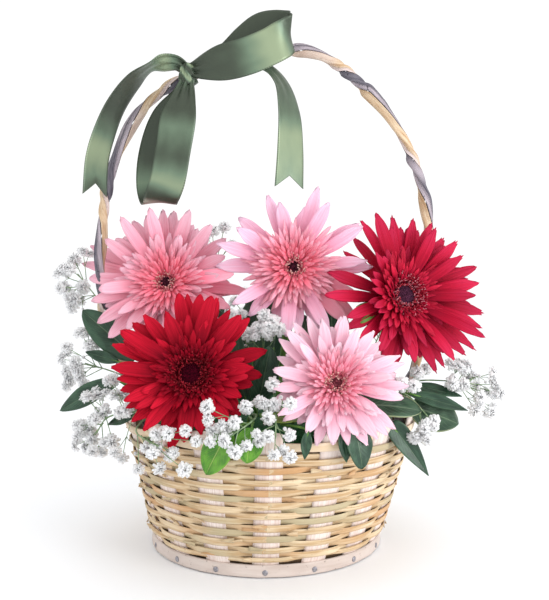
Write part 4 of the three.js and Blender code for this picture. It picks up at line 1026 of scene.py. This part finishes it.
def bloom_frame(bloom):
    """The bloom's own frame: x to the viewer's right, y up, z out of its face."""
    turn, tilt = math.radians(bloom["turn"]), math.radians(bloom["tilt"])
    out = Vector((math.sin(turn) * math.cos(tilt), -math.cos(turn) * math.cos(tilt), math.sin(tilt)))
    right = Vector((math.cos(turn), math.sin(turn), 0))
    up = out.cross(right)
    frame_matrix = Matrix((right, up, out)).transposed().to_4x4()
    frame_matrix.translation = Vector(bloom["eye"]) - out * (CORE_TOP + EYE_RISE)
    return frame_matrix


def place_seen(bloom, clock, reach, lift, height, root):
    """A petal's clock angle and reach in the bloom's frame, from where its tip is seen."""
    to_own = bloom_frame(bloom).inverted()
    angle = math.radians(clock)
    seen = to_own @ (Vector(bloom["eye"]) + Vector((math.sin(angle), 0, math.cos(angle))) * reach)
    viewer = to_own @ Vector(VIEWPOINT)
    sight = seen - viewer
    high = height
    for _ in range(6):
        tip = viewer + sight * ((high - viewer.z) / sight.z)
        high = height + (math.hypot(tip.x, tip.y) - root) * math.tan(math.radians(lift))
    return math.degrees(math.atan2(tip.x, tip.y)), math.hypot(tip.x, tip.y)


def petal(bm, draw, clock, reach, lift, root, height, width, cells, finish=0, curl=0.0, cup=0.12,
          waist=0.34, teeth=0.015, tone=None, tip=(0.5, 0.72)):
    """One ray: narrow at its root, broadest past the middle, grooved, with a round tip."""
    angle = math.radians(clock)
    outward = Vector((math.sin(angle), math.cos(angle), 0))
    across = Vector((math.cos(angle), -math.sin(angle), 0))
    slope = math.radians(lift)
    length = (reach - root) / math.cos(slope)
    sideways = draw.uniform(-0.05, 0.05)
    twist = draw.uniform(-0.2, 0.2)
    blunt = draw.uniform(0.06, 0.11)
    end = draw.uniform(*tip)
    phase = draw.uniform(-0.5, 0.5)
    ridge = min(0.28, width * 0.035)

    def shape(u, v):
        t = v * (1 - blunt * u * u * v**3 - teeth * v**3 * (1 + math.cos(3 * math.pi * (u + phase))) / 2)
        breadths = [waist, 0.64, 1, 0.96, 0.45 + 0.55 * end, end]
        half = width / 2 * between(PETAL_STATIONS, breadths, v)
        rise = height + length * (t * math.sin(slope) + PETAL_BOW * t * (1 - t))
        rise += length * curl * t**3
        roll = twist * t
        side = u * half
        deep = cup * half * (u * u) * (1 - 0.4 * v) + ridge * math.cos(2.5 * math.pi * u) * min(1, 3 * t)
        place = outward * (root + length * t * math.cos(slope))
        place += across * (side * math.cos(roll) + length * sideways * t * t)
        place.z = rise + deep + side * math.sin(roll)
        return place

    sheet(bm, cells[0], cells[1], shape, draw.random() if tone is None else tone, finish)


def petal_ring(bm, draw, count, reach, lift, root, height, width, cells, finish, start_at, cup, gap,
               **more):
    """A ring of rays with scattered reach, lift and clock; cup raises the left ones, gap has none."""
    for i in range(count):
        clock = (i + start_at + draw.uniform(-0.42, 0.42)) * 360 / count
        if gap[0] < clock % 360 < gap[1]:
            continue
        raised = lift - cup * math.sin(math.radians(clock))
        drawn = root + (reach - root) * math.cos(math.radians(raised)) / math.cos(math.radians(lift))
        petal(bm, draw, clock, drawn * draw.uniform(0.8, 1.13), raised + draw.uniform(-8, 9), root,
              height, width * draw.uniform(0.75, 1.15), cells, finish, **more)


def bloom_petals(name, bloom, finishes, rings, broad, tip, teeth, bare, deep, left_out, cup):
    """The outer rays where they are seen, shorter ones behind gaps, and rings of florets inside; rays at
    the clock angles in deep get the florets' darker finish as painted shade.
    """
    draw = random.Random(name)
    bm = start()
    rays = bloom["petals"]
    for i, ray in enumerate(rays):
        clock, reach = ray[:2]
        layer_lift, layer_height = PETAL_LAYERS[i % 3]
        own = ray[2] if len(ray) > 2 else None
        # Rays at the clock angles in deep get the darker florets' finish: painted shade on that side of
        # the bloom
        finish = 1 if deep[0] < clock < deep[1] else 0
        lean = bloom.get("lean", 0) * math.sin(math.radians(clock))
        lift = layer_lift + lean if own is None else own
        height = -1 if own is not None and own < 0 else layer_height
        own_clock, own_reach = place_seen(bloom, clock, reach, lift, height, PETAL_ROOT)
        petal(bm, draw, own_clock, own_reach, lift, PETAL_ROOT, height,
              bloom["petalWidth"] * broad * draw.uniform(0.88, 1.1), (6, 14), finish,
              curl=draw.uniform(-0.08, 0.04), tip=tip, teeth=teeth)
        after = rays[(i + 1) % len(rays)]
        gap = (after[0] - clock) % 360
        if gap > 9 and not bare[0] <= clock < bare[1]:
            for share in ((0.5,) if gap < 16 else (0.33, 0.67)):
                seen_reach = 0.84 * (reach + (after[1] - reach) * share)
                back_lift = min(lift, (after[2] if len(after) > 2 else 8)) - 1
                own_clock, own_reach = place_seen(
                    bloom, clock + gap * share, seen_reach, back_lift, -3, PETAL_ROOT)
                # The short rays behind take tones from the darker half: painted shade
                petal(bm, draw, own_clock, own_reach, back_lift, PETAL_ROOT, -3,
                      bloom["petalWidth"] * 0.95, (6, 12), finish, tone=draw.uniform(0.1, 0.5))
    reach = bloom["floretReach"]
    eye = bloom["eyeRadius"]
    for i, (count, far, lift, root, width, finish) in enumerate(rings):
        cells = (5, 10) if width > 5 else (4, 8) if width > 3.6 else (3, 6)
        root = max(root, eye + 0.4 if lift > 40 else 0)
        petal_ring(bm, draw, count, max(far * reach, eye + 5), lift, root, 0.5 + 0.7 * i, width, cells,
                   finish, 0.37 * i, cup, left_out if finish == 0 else (0, 0), tip=(0.4, 0.65),
                   teeth=0.025, curl=draw.uniform(-0.05, 0.1))
    bmesh.ops.transform(bm, matrix=bloom_frame(bloom), verts=bm.verts)
    piece(f"{name}_rays", bm, finishes[:3], [f"{name}_petals"], thickness=0.45, tidy=False)
    bloom_core(name, bloom, finishes, draw)


def bloom_core(name, bloom, finishes, draw):
    """The body that the rays grow from, with a ring of curled threads round the eye."""
    bm = start()
    core, eye = bloom["core"], bloom["eyeRadius"]
    profile = [
        (0, CORE_BACK - 0.2), (core * 0.7, CORE_BACK + 0.2), (core, CORE_BACK + 2.2),
        (core * 0.96, CORE_TOP - 3), (core * 0.8, CORE_TOP - 0.4), (eye, CORE_TOP + 0.2),
        (0, EYE_BASE),
    ]
    sheet(bm, 32, len(profile) - 1, turned(profile), 0.2)
    rings = 4 if eye > 6 else 3
    threads = round(THREADS * eye)
    for i in range(rings * threads):
        turn = TAU * (i / rings + draw.uniform(-0.3, 0.3)) / threads
        out = Vector((math.cos(turn), math.sin(turn), 0))
        base = eye * 0.92 + (1.2 + 0.18 * eye) * (i % rings) + draw.uniform(-0.8, 0.8)
        tall = draw.uniform(2.6, 4.6) + 0.9 * (i % rings)
        bend = draw.uniform(-1.6, 1.4)
        points = [
            out * base + Vector((0, 0, CORE_TOP - 0.8)),
            out * (base + 0.4) + Vector((0, 0, CORE_TOP + tall * 0.6)),
            out * (base + 0.4 + bend * 0.5) + Vector((0, 0, CORE_TOP + tall)),
            out * (base + 0.4 + bend) + Vector((0, 0, CORE_TOP + tall * 0.96)),
        ]
        knob = draw.uniform(0.3, 0.44) if eye > 6 else draw.uniform(0.45, 0.62)
        rod(bm, points, [0.3, 0.28, 0.34, knob], 5, draw.random(), 1 if draw.random() < 0.55 else 2)
    bmesh.ops.transform(bm, matrix=bloom_frame(bloom), verts=bm.verts)
    piece(f"{name}_core", bm, finishes[2:5], [f"{name}_petals"])


def bloom_eye(name, bloom, finish):
    """A low dome packed with tiny buds in a spiral."""
    draw = random.Random(name + "eye")
    bm = start()
    radius = bloom["eyeRadius"]

    def dome_height(out):
        return EYE_BASE + EYE_DOME * (1 - (out / radius) ** 2)

    outs = [radius * min(1, 1.25 * step / 8) for step in range(9)]
    sheet(bm, 20, len(outs) - 1, turned([(out, dome_height(out)) for out in outs]))
    count = round(EYE_BUDS * radius * radius)
    for i in range(count):
        out = radius * 0.97 * math.sqrt((i + 0.5) / count)
        turn = i * GOLDEN_ANGLE
        place = (out * math.cos(turn), out * math.sin(turn), dome_height(out) + 0.35)
        lean = Matrix.Rotation(turn, 4, "Z") @ Matrix.Rotation(0.5 * out / radius, 4, "Y")
        at = Matrix.Translation(place) @ lean
        size = draw.uniform(0.4, 0.62)
        bmesh.ops.create_cone(bm, cap_ends=True, segments=5, radius1=size, radius2=size * 0.45,
                              depth=1.5, matrix=at, calc_uvs=True)
    bmesh.ops.transform(bm, matrix=bloom_frame(bloom), verts=bm.verts)
    piece(f"{name}_eye_buds", bm, [finish], [f"{name}_eye"])


def planted(root, depth):
    """Where a stem ends in the foam, and where it comes out of it."""
    return Vector((*root, FOAM_TOP - depth)), Vector((*root, FOAM_TOP + STEM_RISE))


def bloom_stem(name, bloom):
    """The stem from the foam to the bloom's back, and the bracts that hold the rays."""
    draw = random.Random(name + "stem")
    own = bloom_frame(bloom)
    back = CORE_BACK - 0.3
    foot, entry = planted(bloom["root"], STEM_DEPTH)
    behind = [own @ Vector((0, 0, back - CALYX_LENGTH - distance)) for distance in (18, 6, -2)]
    bm = start()
    rod(bm, [foot, *smooth_points([entry, *behind], 26)], STEM_RADIUS, 12)
    calyx = turned([
        (0, back - CALYX_LENGTH), (STEM_RADIUS, back - CALYX_LENGTH), (4.6, back - 7.5),
        (6.6, back - 3.5), (7, back - 0.6), (0, back),
    ])
    sheet(bm, 24, 5, lambda u, v: own @ calyx(u, v))
    piece(f"{name}_stalk", bm, [stem_green], [f"{name}_stem"])
    bm = start()
    for ring, (count, reach, lift) in enumerate(BRACT_RINGS):
        for i in range(count):
            petal(bm, draw, (i + ring / 3) * 360 / count, reach * draw.uniform(0.9, 1.1), lift, 4.5,
                  back - 7.5 + 2.3 * ring, 3.4, (3, 5), waist=0.8, teeth=0, cup=0.3)
    for clock, reach in bloom.get("sepals", ()):
        petal(bm, draw, clock, reach, 6, 14, -0.4, 4.4, (4, 8), waist=0.6, teeth=0, tone=0.9)
    bmesh.ops.transform(bm, matrix=own, verts=bm.verts)
    piece(f"{name}_bracts", bm, [stem_green], [f"{name}_stem"], thickness=0.4, tidy=False)


# Leaves


def leaf(bm, draw, base, tip, width, face, peak=USUAL_PEAK):
    """A blade with a folded midrib, waved edges and a drooping tip."""
    base = Vector(base)
    run = Vector(tip) - base
    across = run.cross(Vector(face)).normalized()
    up = across.cross(run).normalized()
    full = 0.62 if width > 16 else 0.85
    wave = draw.uniform(0, TAU)
    waves = draw.uniform(0.02, 0.05) * width

    def shape(u, v):
        half = width / 2 * max(0.03, math.sin(math.pi * (0.03 + 0.97 * v) ** peak) ** full)
        bow = LEAF_BOW * width * v * (1 - v)
        fold = 0.16 * half * abs(u) ** 1.2
        ruffle = waves * math.sin(wave + 9 * v + 2 * u) * u * u
        crease = -0.02 * width * math.exp(-(u / 0.09) ** 2) * (1 - v)
        return base + run * v + across * (u * half) + up * (bow + fold + ruffle + crease)

    sheet(bm, 12, 22, shape, draw.random())


def sprig(name, root, fork, leaves):
    """A stem, a stalk to each leaf, and the leaves' blades."""
    draw = random.Random(name)
    finish = bright_leaf if "bright" in name else olive_leaf if "olive" in name else dark_leaf
    finish = grey_leaf if name in ("leaves_right_round", "leaves_right_large") else finish
    fork = Vector(fork)
    foot, entry = planted(root, TWIG_DEPTH)
    bm = start()
    rod(bm, [foot, *smooth_points([entry, (entry + fork) / 2 + Vector((0, 0, 1)), fork], 12)], 1.3, 8)
    for blade in leaves:
        base = Vector(blade[0])
        run = Vector(blade[1]) - base
        rod(bm, smooth_points([fork, base, base + run * 0.25], 12), np.linspace(1.0, 0.6, 12), 6)
    piece(f"{name}_stalks", bm, [stem_green], [name])
    bm = start()
    for blade in leaves:
        leaf(bm, draw, *blade)
    piece(f"{name}_blades", bm, [finish], [name], thickness=0.6, tidy=False)


# Gypsophila


def jitter(draw, size):
    """A small random shift."""
    return Vector([draw.uniform(-size, size) for _ in range(3)])


def floret_pattern(seed):
    """A small double floret: a ragged rosette of many short blades, with its middle at the origin."""
    draw = random.Random(seed)
    bm = start()
    for ring, (count, lift, long) in enumerate(HEAD_RINGS):
        for i in range(count):
            slope = lift + draw.uniform(-10, 10)
            reach = 0.4 + long * math.cos(math.radians(slope)) * draw.uniform(0.84, 1.06)
            petal(bm, draw, (i + ring * 0.5 + draw.uniform(-0.3, 0.3)) * 360 / count, reach, slope, 0.4,
                  0.22 * ring - 0.6, long * draw.uniform(0.46, 0.6), (1, 2), waist=0.5, teeth=0,
                  tip=(0.25, 0.7))
    return as_mesh(f"floret pattern {seed}", bm)


def bud_pattern():
    bm = start()
    bmesh.ops.create_icosphere(bm, subdivisions=2, radius=1.25, calc_uvs=True)
    return as_mesh("bud pattern", bm)


def twig_root(forks, middle):
    """Where a twig leaves the branches: some way before the place nearest to its floret."""
    found = None
    for start_at, end_at in zip(forks, forks[1:]):
        run = end_at - start_at
        share = min(max((middle - start_at).dot(run) / run.length_squared, 0), 1)
        distance = (start_at + run * share - middle).length
        if found is None or distance < found[0]:
            found = (distance, start_at + run * max(share - TWIG_SLANT * distance / run.length, 0.06))
    return found[1]


def stamp(bm, pattern, middle, out, draw, size):
    """Copies a pattern to a place, turned to look along out."""
    turn = out.to_track_quat("Z", "Y").to_matrix().to_4x4()
    turn @= Matrix.Rotation(draw.uniform(0, TAU), 4, "Z")
    copy = pattern.copy()
    copy.transform(Matrix.Translation(middle) @ turn @ Matrix.Scale(size, 4))
    bm.from_mesh(copy)
    bpy.data.meshes.remove(copy)


def spray(name, root, forks, places, florets, bud):
    """A branched stem with a twig and a head at each place, and some heads and buds beside them."""
    draw = random.Random(name)
    forks = [Vector(place) for place in forks]
    foot, entry = planted(root, TWIG_DEPTH)
    twigs, heads = start(), start()
    line = smooth_points([entry, *forks], 8 * len(forks) + 8)
    front = "front" in name
    beside = FEW_BESIDE if front or "back" in name else MANY_BESIDE
    rod(twigs, [foot, *line], [1.1, *np.linspace(0.95, 0.4, len(line))], 6)
    for place in places:
        middle = Vector(place)
        root = twig_root(forks, middle)
        out = (middle - root).normalized()
        bend = root + (middle - root) * 0.55 + jitter(draw, 1)
        rod(twigs, smooth_points([root, bend, middle], 6), np.linspace(0.36, 0.26, 6), 5)
        face = (out + TO_VIEWER + jitter(draw, 0.35)).normalized()
        size = draw.uniform(0.92, 1.26) if front else draw.uniform(1.1, 1.42)
        stamp(heads, draw.choice(florets), middle, face, draw, size)
        for kind in draw.choice(beside):
            side = jitter(draw, 1).cross(out).normalized()
            if kind:
                tip = middle + side * draw.uniform(5.5, 8.5) - out * draw.uniform(0, 5)
                stamp(heads, draw.choice(florets), tip, face, draw, draw.uniform(0.85, 1.25))
            else:
                tip = bend + out * draw.uniform(0, 3) + side * draw.uniform(4.5, 8)
                stamp(heads, bud, tip, side, draw, draw.uniform(0.6, 1.1))
            rod(twigs, [bend, (bend + tip) / 2 + out * 0.8, tip], [0.28, 0.25, 0.22], 4)
    piece(f"{name}_twigs", twigs, [twig_green], [name])
    piece(f"{name}_heads", heads, [floret_white], [name], thickness=0.22, tidy=False)


# Finishes

band_wood = wood("pale band wood", "#d9ccc4", "#c0aea4", "#7f6c62", 0.4, 0.6)
strip_wood = wood("honey strips", "#e8d5b4", "#c09e74", "#946f4a", 0.85, 0.25, 0.62, warm="#c79768",
                  cool="#b3a786", change=0.8)
# Dark colours for the sheet behind the weave, which stands for painted shade in the gaps
painted_shade_wood = wood("back of the weave", "#6e563f", "#4a392b", "#33271e", 0.5, 0.2)
stake_wood = wood("pale stakes", "#f8ece5", "#dcc5ba", "#a98878", 0.7, 0.2)
rim_wood = wood("pale rim strip", "#ecdac2", "#d3b48c", "#a98a64", 0.5, 0.2)
bark = wood("grey bark", "#827e86", "#504c58", "#2f2b31", 0.9, 0.8, 0.8, 0.0006, warm="#5c5660",
            cool="#cbbec6", change=0.6, split=0.8)
peeled_wood = wood("peeled rod", "#e4cfb2", "#ba9670", "#7c5a42", 0.8, 0.3, 0.6, 0.0004,
                   warm="#cfab84", cool="#dccdd0", change=0.4, split=0.8)
nail_steel = speckled("grey nails", "#a4a2a8", "#86848a", 900, 0.42, 0.0001, Metallic=0.5)
# Satin colours: dark for painted shade, middle, light for the painted highlight, then the tinged colour,
# the picot and the threads
ribbon_satin = satin("sage satin", "#252f28", "#627864", "#8e9d7e", "#8f847c", "#39453c", "#a3ae8e")
stem_green = speckled("stem green", "#6f9a48", "#547c3a", 160, 0.5, 0.0002)
twig_green = speckled("twig green", "#93a982", "#6f8a62", 200, 0.6, 0.0001)
floret_white = speckled("floret white", "#ffffff", "#f6f7fa", 500, 0.8, 0.0001, 0.1,
                        Subsurface_Weight=0.9, Subsurface_Scale=0.002, Subsurface_Radius=(1, 1, 1))
dark_leaf = leaf_finish("dark leaf", "#233f2f", "#3c5c46", "#7a9474", "#5c7850", 0.2, coat=0.15)
grey_leaf = leaf_finish("grey green leaf", "#2d4735", "#4a674f", "#8fa886", "#a3ab7c", 0.6, 0.4, 0.3, 0.2)
bright_leaf = leaf_finish("bright leaf", "#3c7c16", "#6aa82c", "#b4d26c", "#96c044", 0.3, 0.5, 0.25, 0.4)
olive_leaf = leaf_finish("olive leaf", "#5f7a2c", "#86a044", "#c3cf86", "#a9b060", 0.3, 0.4)

# Petals' colours at the root, on the blade, at the tip and in the lines, then how much line there is,
# how much petals vary, where the blade's colour begins, and shine
PETALS = {
    name: petal_finish(name, *colours.split(), *values) for name, colours, *values in (
        ("pink rays", "#e46e84 #f09aae #f6c2d3 #dc7892"),
        ("pink florets", "#f66c86 #fe94ab #fcb2c4 #ec647e", 0.35),
        ("coral florets", "#f25470 #fe7e94 #fd9cae #e24e6a", 0.35),
        ("lilac pink rays", "#ee88a2 #f4aac4 #f6cee4 #e08eac"),
        ("pale pink rays", "#f298b0 #f7b8cc #fad6e4 #e898b2"),
        ("rosy florets", "#fb7690 #ff9eb5 #fdbacb #f06c88", 0.35),
        ("pink threads", "#cc4858 #e0687a #f09ca2 #b83c50", 0.2),
        ("cream threads", "#e07c84 #f4b8b0 #fadcd0 #d07078", 0.2),
        ("red rays", "#54031a #a80a22 #ce1832 #700518", 0.6, 0.2, 0.8, 0.06),
        ("crimson florets", "#520216 #96081e #b80e28 #520416", 0.5, 0.16, 0.7, 0.06),
        ("maroon florets", "#420210 #780618 #9c0c24 #3a020e", 0.4, 0.14, 0.6, 0.06),
        ("maroon threads", "#48040e #6a0614 #8c1422 #30020a", 0.3),
        ("crimson threads", "#7a0a18 #a8182a #c23a48 #50040e", 0.3),
        ("rose red rays", "#64031c #ae0b2c #c4284c #7c0624", 0.6, 0.2, 0.75, 0.07),
        ("rose florets", "#6a0620 #b20e30 #d02844 #5a0418", 0.5, 0.2, 0.6, 0.07),
        ("dark rose florets", "#5a041e #9c0c2c #c4203e #440316", 0.4, 0.2, 0.6, 0.07),
        ("rose threads", "#7a0818 #b02438 #cc4a58 #5c0612", 0.3),
        ("pale threads", "#9c2c44 #cc7080 #e4a4a8 #8c2438", 0.3),
    )
}
EYE_GRAIN = 700
pink_eye = speckled("plum eye", "#2c101c", "#5a2436", EYE_GRAIN, 0.8, 0.0002, 0.1)
red_eye = speckled("dark eye", "#28040f", "#54081e", EYE_GRAIN, 0.85, 0.0002, 0.03)
brown_eye = speckled("rosy brown eye", "#5a2430", "#a0525e", EYE_GRAIN, 0.8, 0.0002, 0.1)
rose_eye = speckled("dark plum eye", "#3a1c30", "#663850", EYE_GRAIN, 0.85, 0.0002, 0.05)

for node, finish in (
    ("base_board", wood("plywood board", "#dcc7a4", "#c0a47a")),
    ("liner_tub", speckled("liner plastic", "#1f2b22", "#2c3a30", 60, 0.4, 0.0001)),
    ("floral_foam", speckled("wet foam", "#1f4a2c", "#356b42", 900, 0.95, 0.0009)),
):
    for material_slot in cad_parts[node].material_slots:
        material_slot.material = finish

# Building

base_band()
weave_strips()
loose_ends()
wall_stakes()
rim_strip()
handle_rods()
ribbon_bow()

# Each ring of florets: how many, how far out against the bloom's own reach, lift, root, width, finish
PINK_RINGS = [
    (20, 1.36, 12, 3, 7.6, 0), (28, 1.12, 17, 4, 5, 0), (40, 1.0, 23, 4.5, 3.4, 1),
    (42, 0.86, 30, 5, 3, 1), (40, 0.72, 38, 5, 2.7, 2), (36, 0.58, 46, 5, 2.4, 2),
    (26, 0.42, 56, 5, 2, 2),
]
DENSE_RINGS = [
    (42, 1.24, 11, 4, 3.6, 1), (46, 1.14, 16, 4.5, 3.2, 1), (46, 1.0, 22, 4.5, 3, 1),
    (44, 0.86, 29, 5, 2.8, 1), (42, 0.72, 37, 5, 2.5, 2), (36, 0.58, 46, 5, 2.3, 2),
    (26, 0.42, 56, 5, 2, 2),
]
FRONT_RINGS = [
    (18, 1.36, 12, 3, 7, 0), (24, 1.12, 17, 4, 4.6, 0), (28, 1.0, 23, 4.5, 3.1, 1),
    (32, 0.86, 31, 5, 2.7, 1), (34, 0.72, 40, 5, 2.4, 1), (32, 0.58, 48, 5, 2.2, 2),
    (24, 0.42, 58, 5, 1.9, 2),
]
ROSE_RINGS = [
    (34, 1.5, 11, 4, 6.4, 0), (36, 1.24, 19, 5, 4.6, 1), (42, 1.02, 27, 6, 3.2, 1),
    (44, 0.86, 35, 7, 2.6, 2), (44, 0.72, 43, 8, 2.2, 2), (40, 0.6, 51, 8.6, 2, 2),
]
RED_RINGS = [
    (26, 1.5, 10, 4, 7, 0), (32, 1.2, 17, 5, 4.6, 1), (40, 1.0, 25, 6, 3.2, 1),
    (44, 0.84, 33, 7, 2.6, 2), (44, 0.7, 42, 8, 2.2, 2), (40, 0.58, 50, 8.6, 2, 2),
]
# Each bloom's finishes for rays, florets, inner florets and two kinds of threads, its eye, its rings,
# the breadth of its rays, how blunt their tips are, their teeth, the clock angles where no short rays
# fill the gaps, those where rays take the florets' darker colour as painted shade, those that the first
# rings leave out, and how much more its florets rise at the left
BLOOM_LOOKS = {
    "pink_left": (
        ["pink rays", "pink florets", "coral florets", "pink threads", "cream threads"], pink_eye,
        PINK_RINGS, 1.06, (0.5, 0.72), 0.015, (0, 0), (75, 120), (0, 0), 0,
    ),
    "pink_back": (
        ["lilac pink rays", "rosy florets", "coral florets", "pink threads", "cream threads"], pink_eye,
        DENSE_RINGS, 1.12, (0.4, 0.62), 0.01, (0, 360), (95, 150), (0, 0), 0,
    ),
    "pink_front": (
        ["pale pink rays", "rosy florets", "pink florets", "pink threads", "cream threads"], brown_eye,
        FRONT_RINGS, 0.94, (0.4, 0.62), 0.02, (103, 113), (0, 0), (104, 126), 0,
    ),
    "red_left": (
        ["red rays", "crimson florets", "maroon florets", "maroon threads", "crimson threads"], red_eye,
        RED_RINGS, 1.06, (0.42, 0.66), 0.02, (0, 360), (55, 125), (0, 0), 0,
    ),
    "red_right": (
        ["rose red rays", "rose florets", "dark rose florets", "rose threads", "pale threads"], rose_eye,
        ROSE_RINGS, 0.98, (0.4, 0.62), 0.035, (205, 330), (0, 0), (0, 0), 13,
    ),
}
for name, bloom in BLOOMS.items():
    finish_names, eye_finish, *look = BLOOM_LOOKS[name]
    finishes = [PETALS[finish_name] for finish_name in finish_names]
    bloom_petals(name, bloom, finishes, *look)
    bloom_eye(name, bloom, eye_finish)
    bloom_stem(name, bloom)

for name, spec in SPRIGS.items():
    sprig(name, *spec)

floret_patterns = [floret_pattern(seed) for seed in range(4)]
bud = bud_pattern()
for name, spec in SPRAYS.items():
    spray(name, *spec, floret_patterns, bud)
for pattern in (*floret_patterns, bud):
    bpy.data.meshes.remove(pattern)

# Studio, in metres

scene = bpy.context.scene
floor_grid = bmesh.new()
bmesh.ops.create_grid(floor_grid, x_segments=1, y_segments=1, size=20)
floor_mesh = as_mesh("studio_floor", floor_grid)
floor = bpy.data.objects.new("studio_floor", floor_mesh)
floor_mesh.materials.append(material("pale floor", Roughness=0.9, Base_Color=srgb("#fafcff")))
scene.collection.objects.link(floor)

world = bpy.data.worlds.new("studio")
world.use_nodes = True
background = world.node_tree.nodes["Background"].inputs
background["Color"].default_value = (1, 1, 1, 1)
background["Strength"].default_value = 1.07
scene.world = world
scene.view_settings.view_transform = "Standard"

# Lamps with place, size and power, which all look at the middle of the object
LIT_PLACE = Vector((0, 0, 0.18))
for name, place, size, power in (
    ("key light", (1.15, -0.85, 0.4), 0.7, 10),
    ("fill light", (-1.1, -0.9, 0.4), 1.1, 0.8),
    ("top light", (0.1, -0.1, 1.4), 1.0, 1),
):
    lamp = bpy.data.lights.new(name, "AREA")
    lamp.energy = power
    lamp.size = size
    light = bpy.data.objects.new(name, lamp)
    light.location = place
    light.rotation_euler = (LIT_PLACE - Vector(place)).to_track_quat("-Z", "Y").to_euler()
    scene.collection.objects.link(light)

# The camera that sees the object as the photograph shows it, a little down from level
CAMERA_PLACE = (0.0032, -0.6, 0.21035)
LENS_MM = 47.3
LOOK_DOWN = 2.68
lens = bpy.data.cameras.new("camera")
lens.lens = LENS_MM
camera = bpy.data.objects.new("camera", lens)
camera.location = CAMERA_PLACE
camera.rotation_euler = (math.radians(90 - LOOK_DOWN), 0, 0)
scene.collection.objects.link(camera)
scene.camera = camera

bpy.context.view_layer.update()
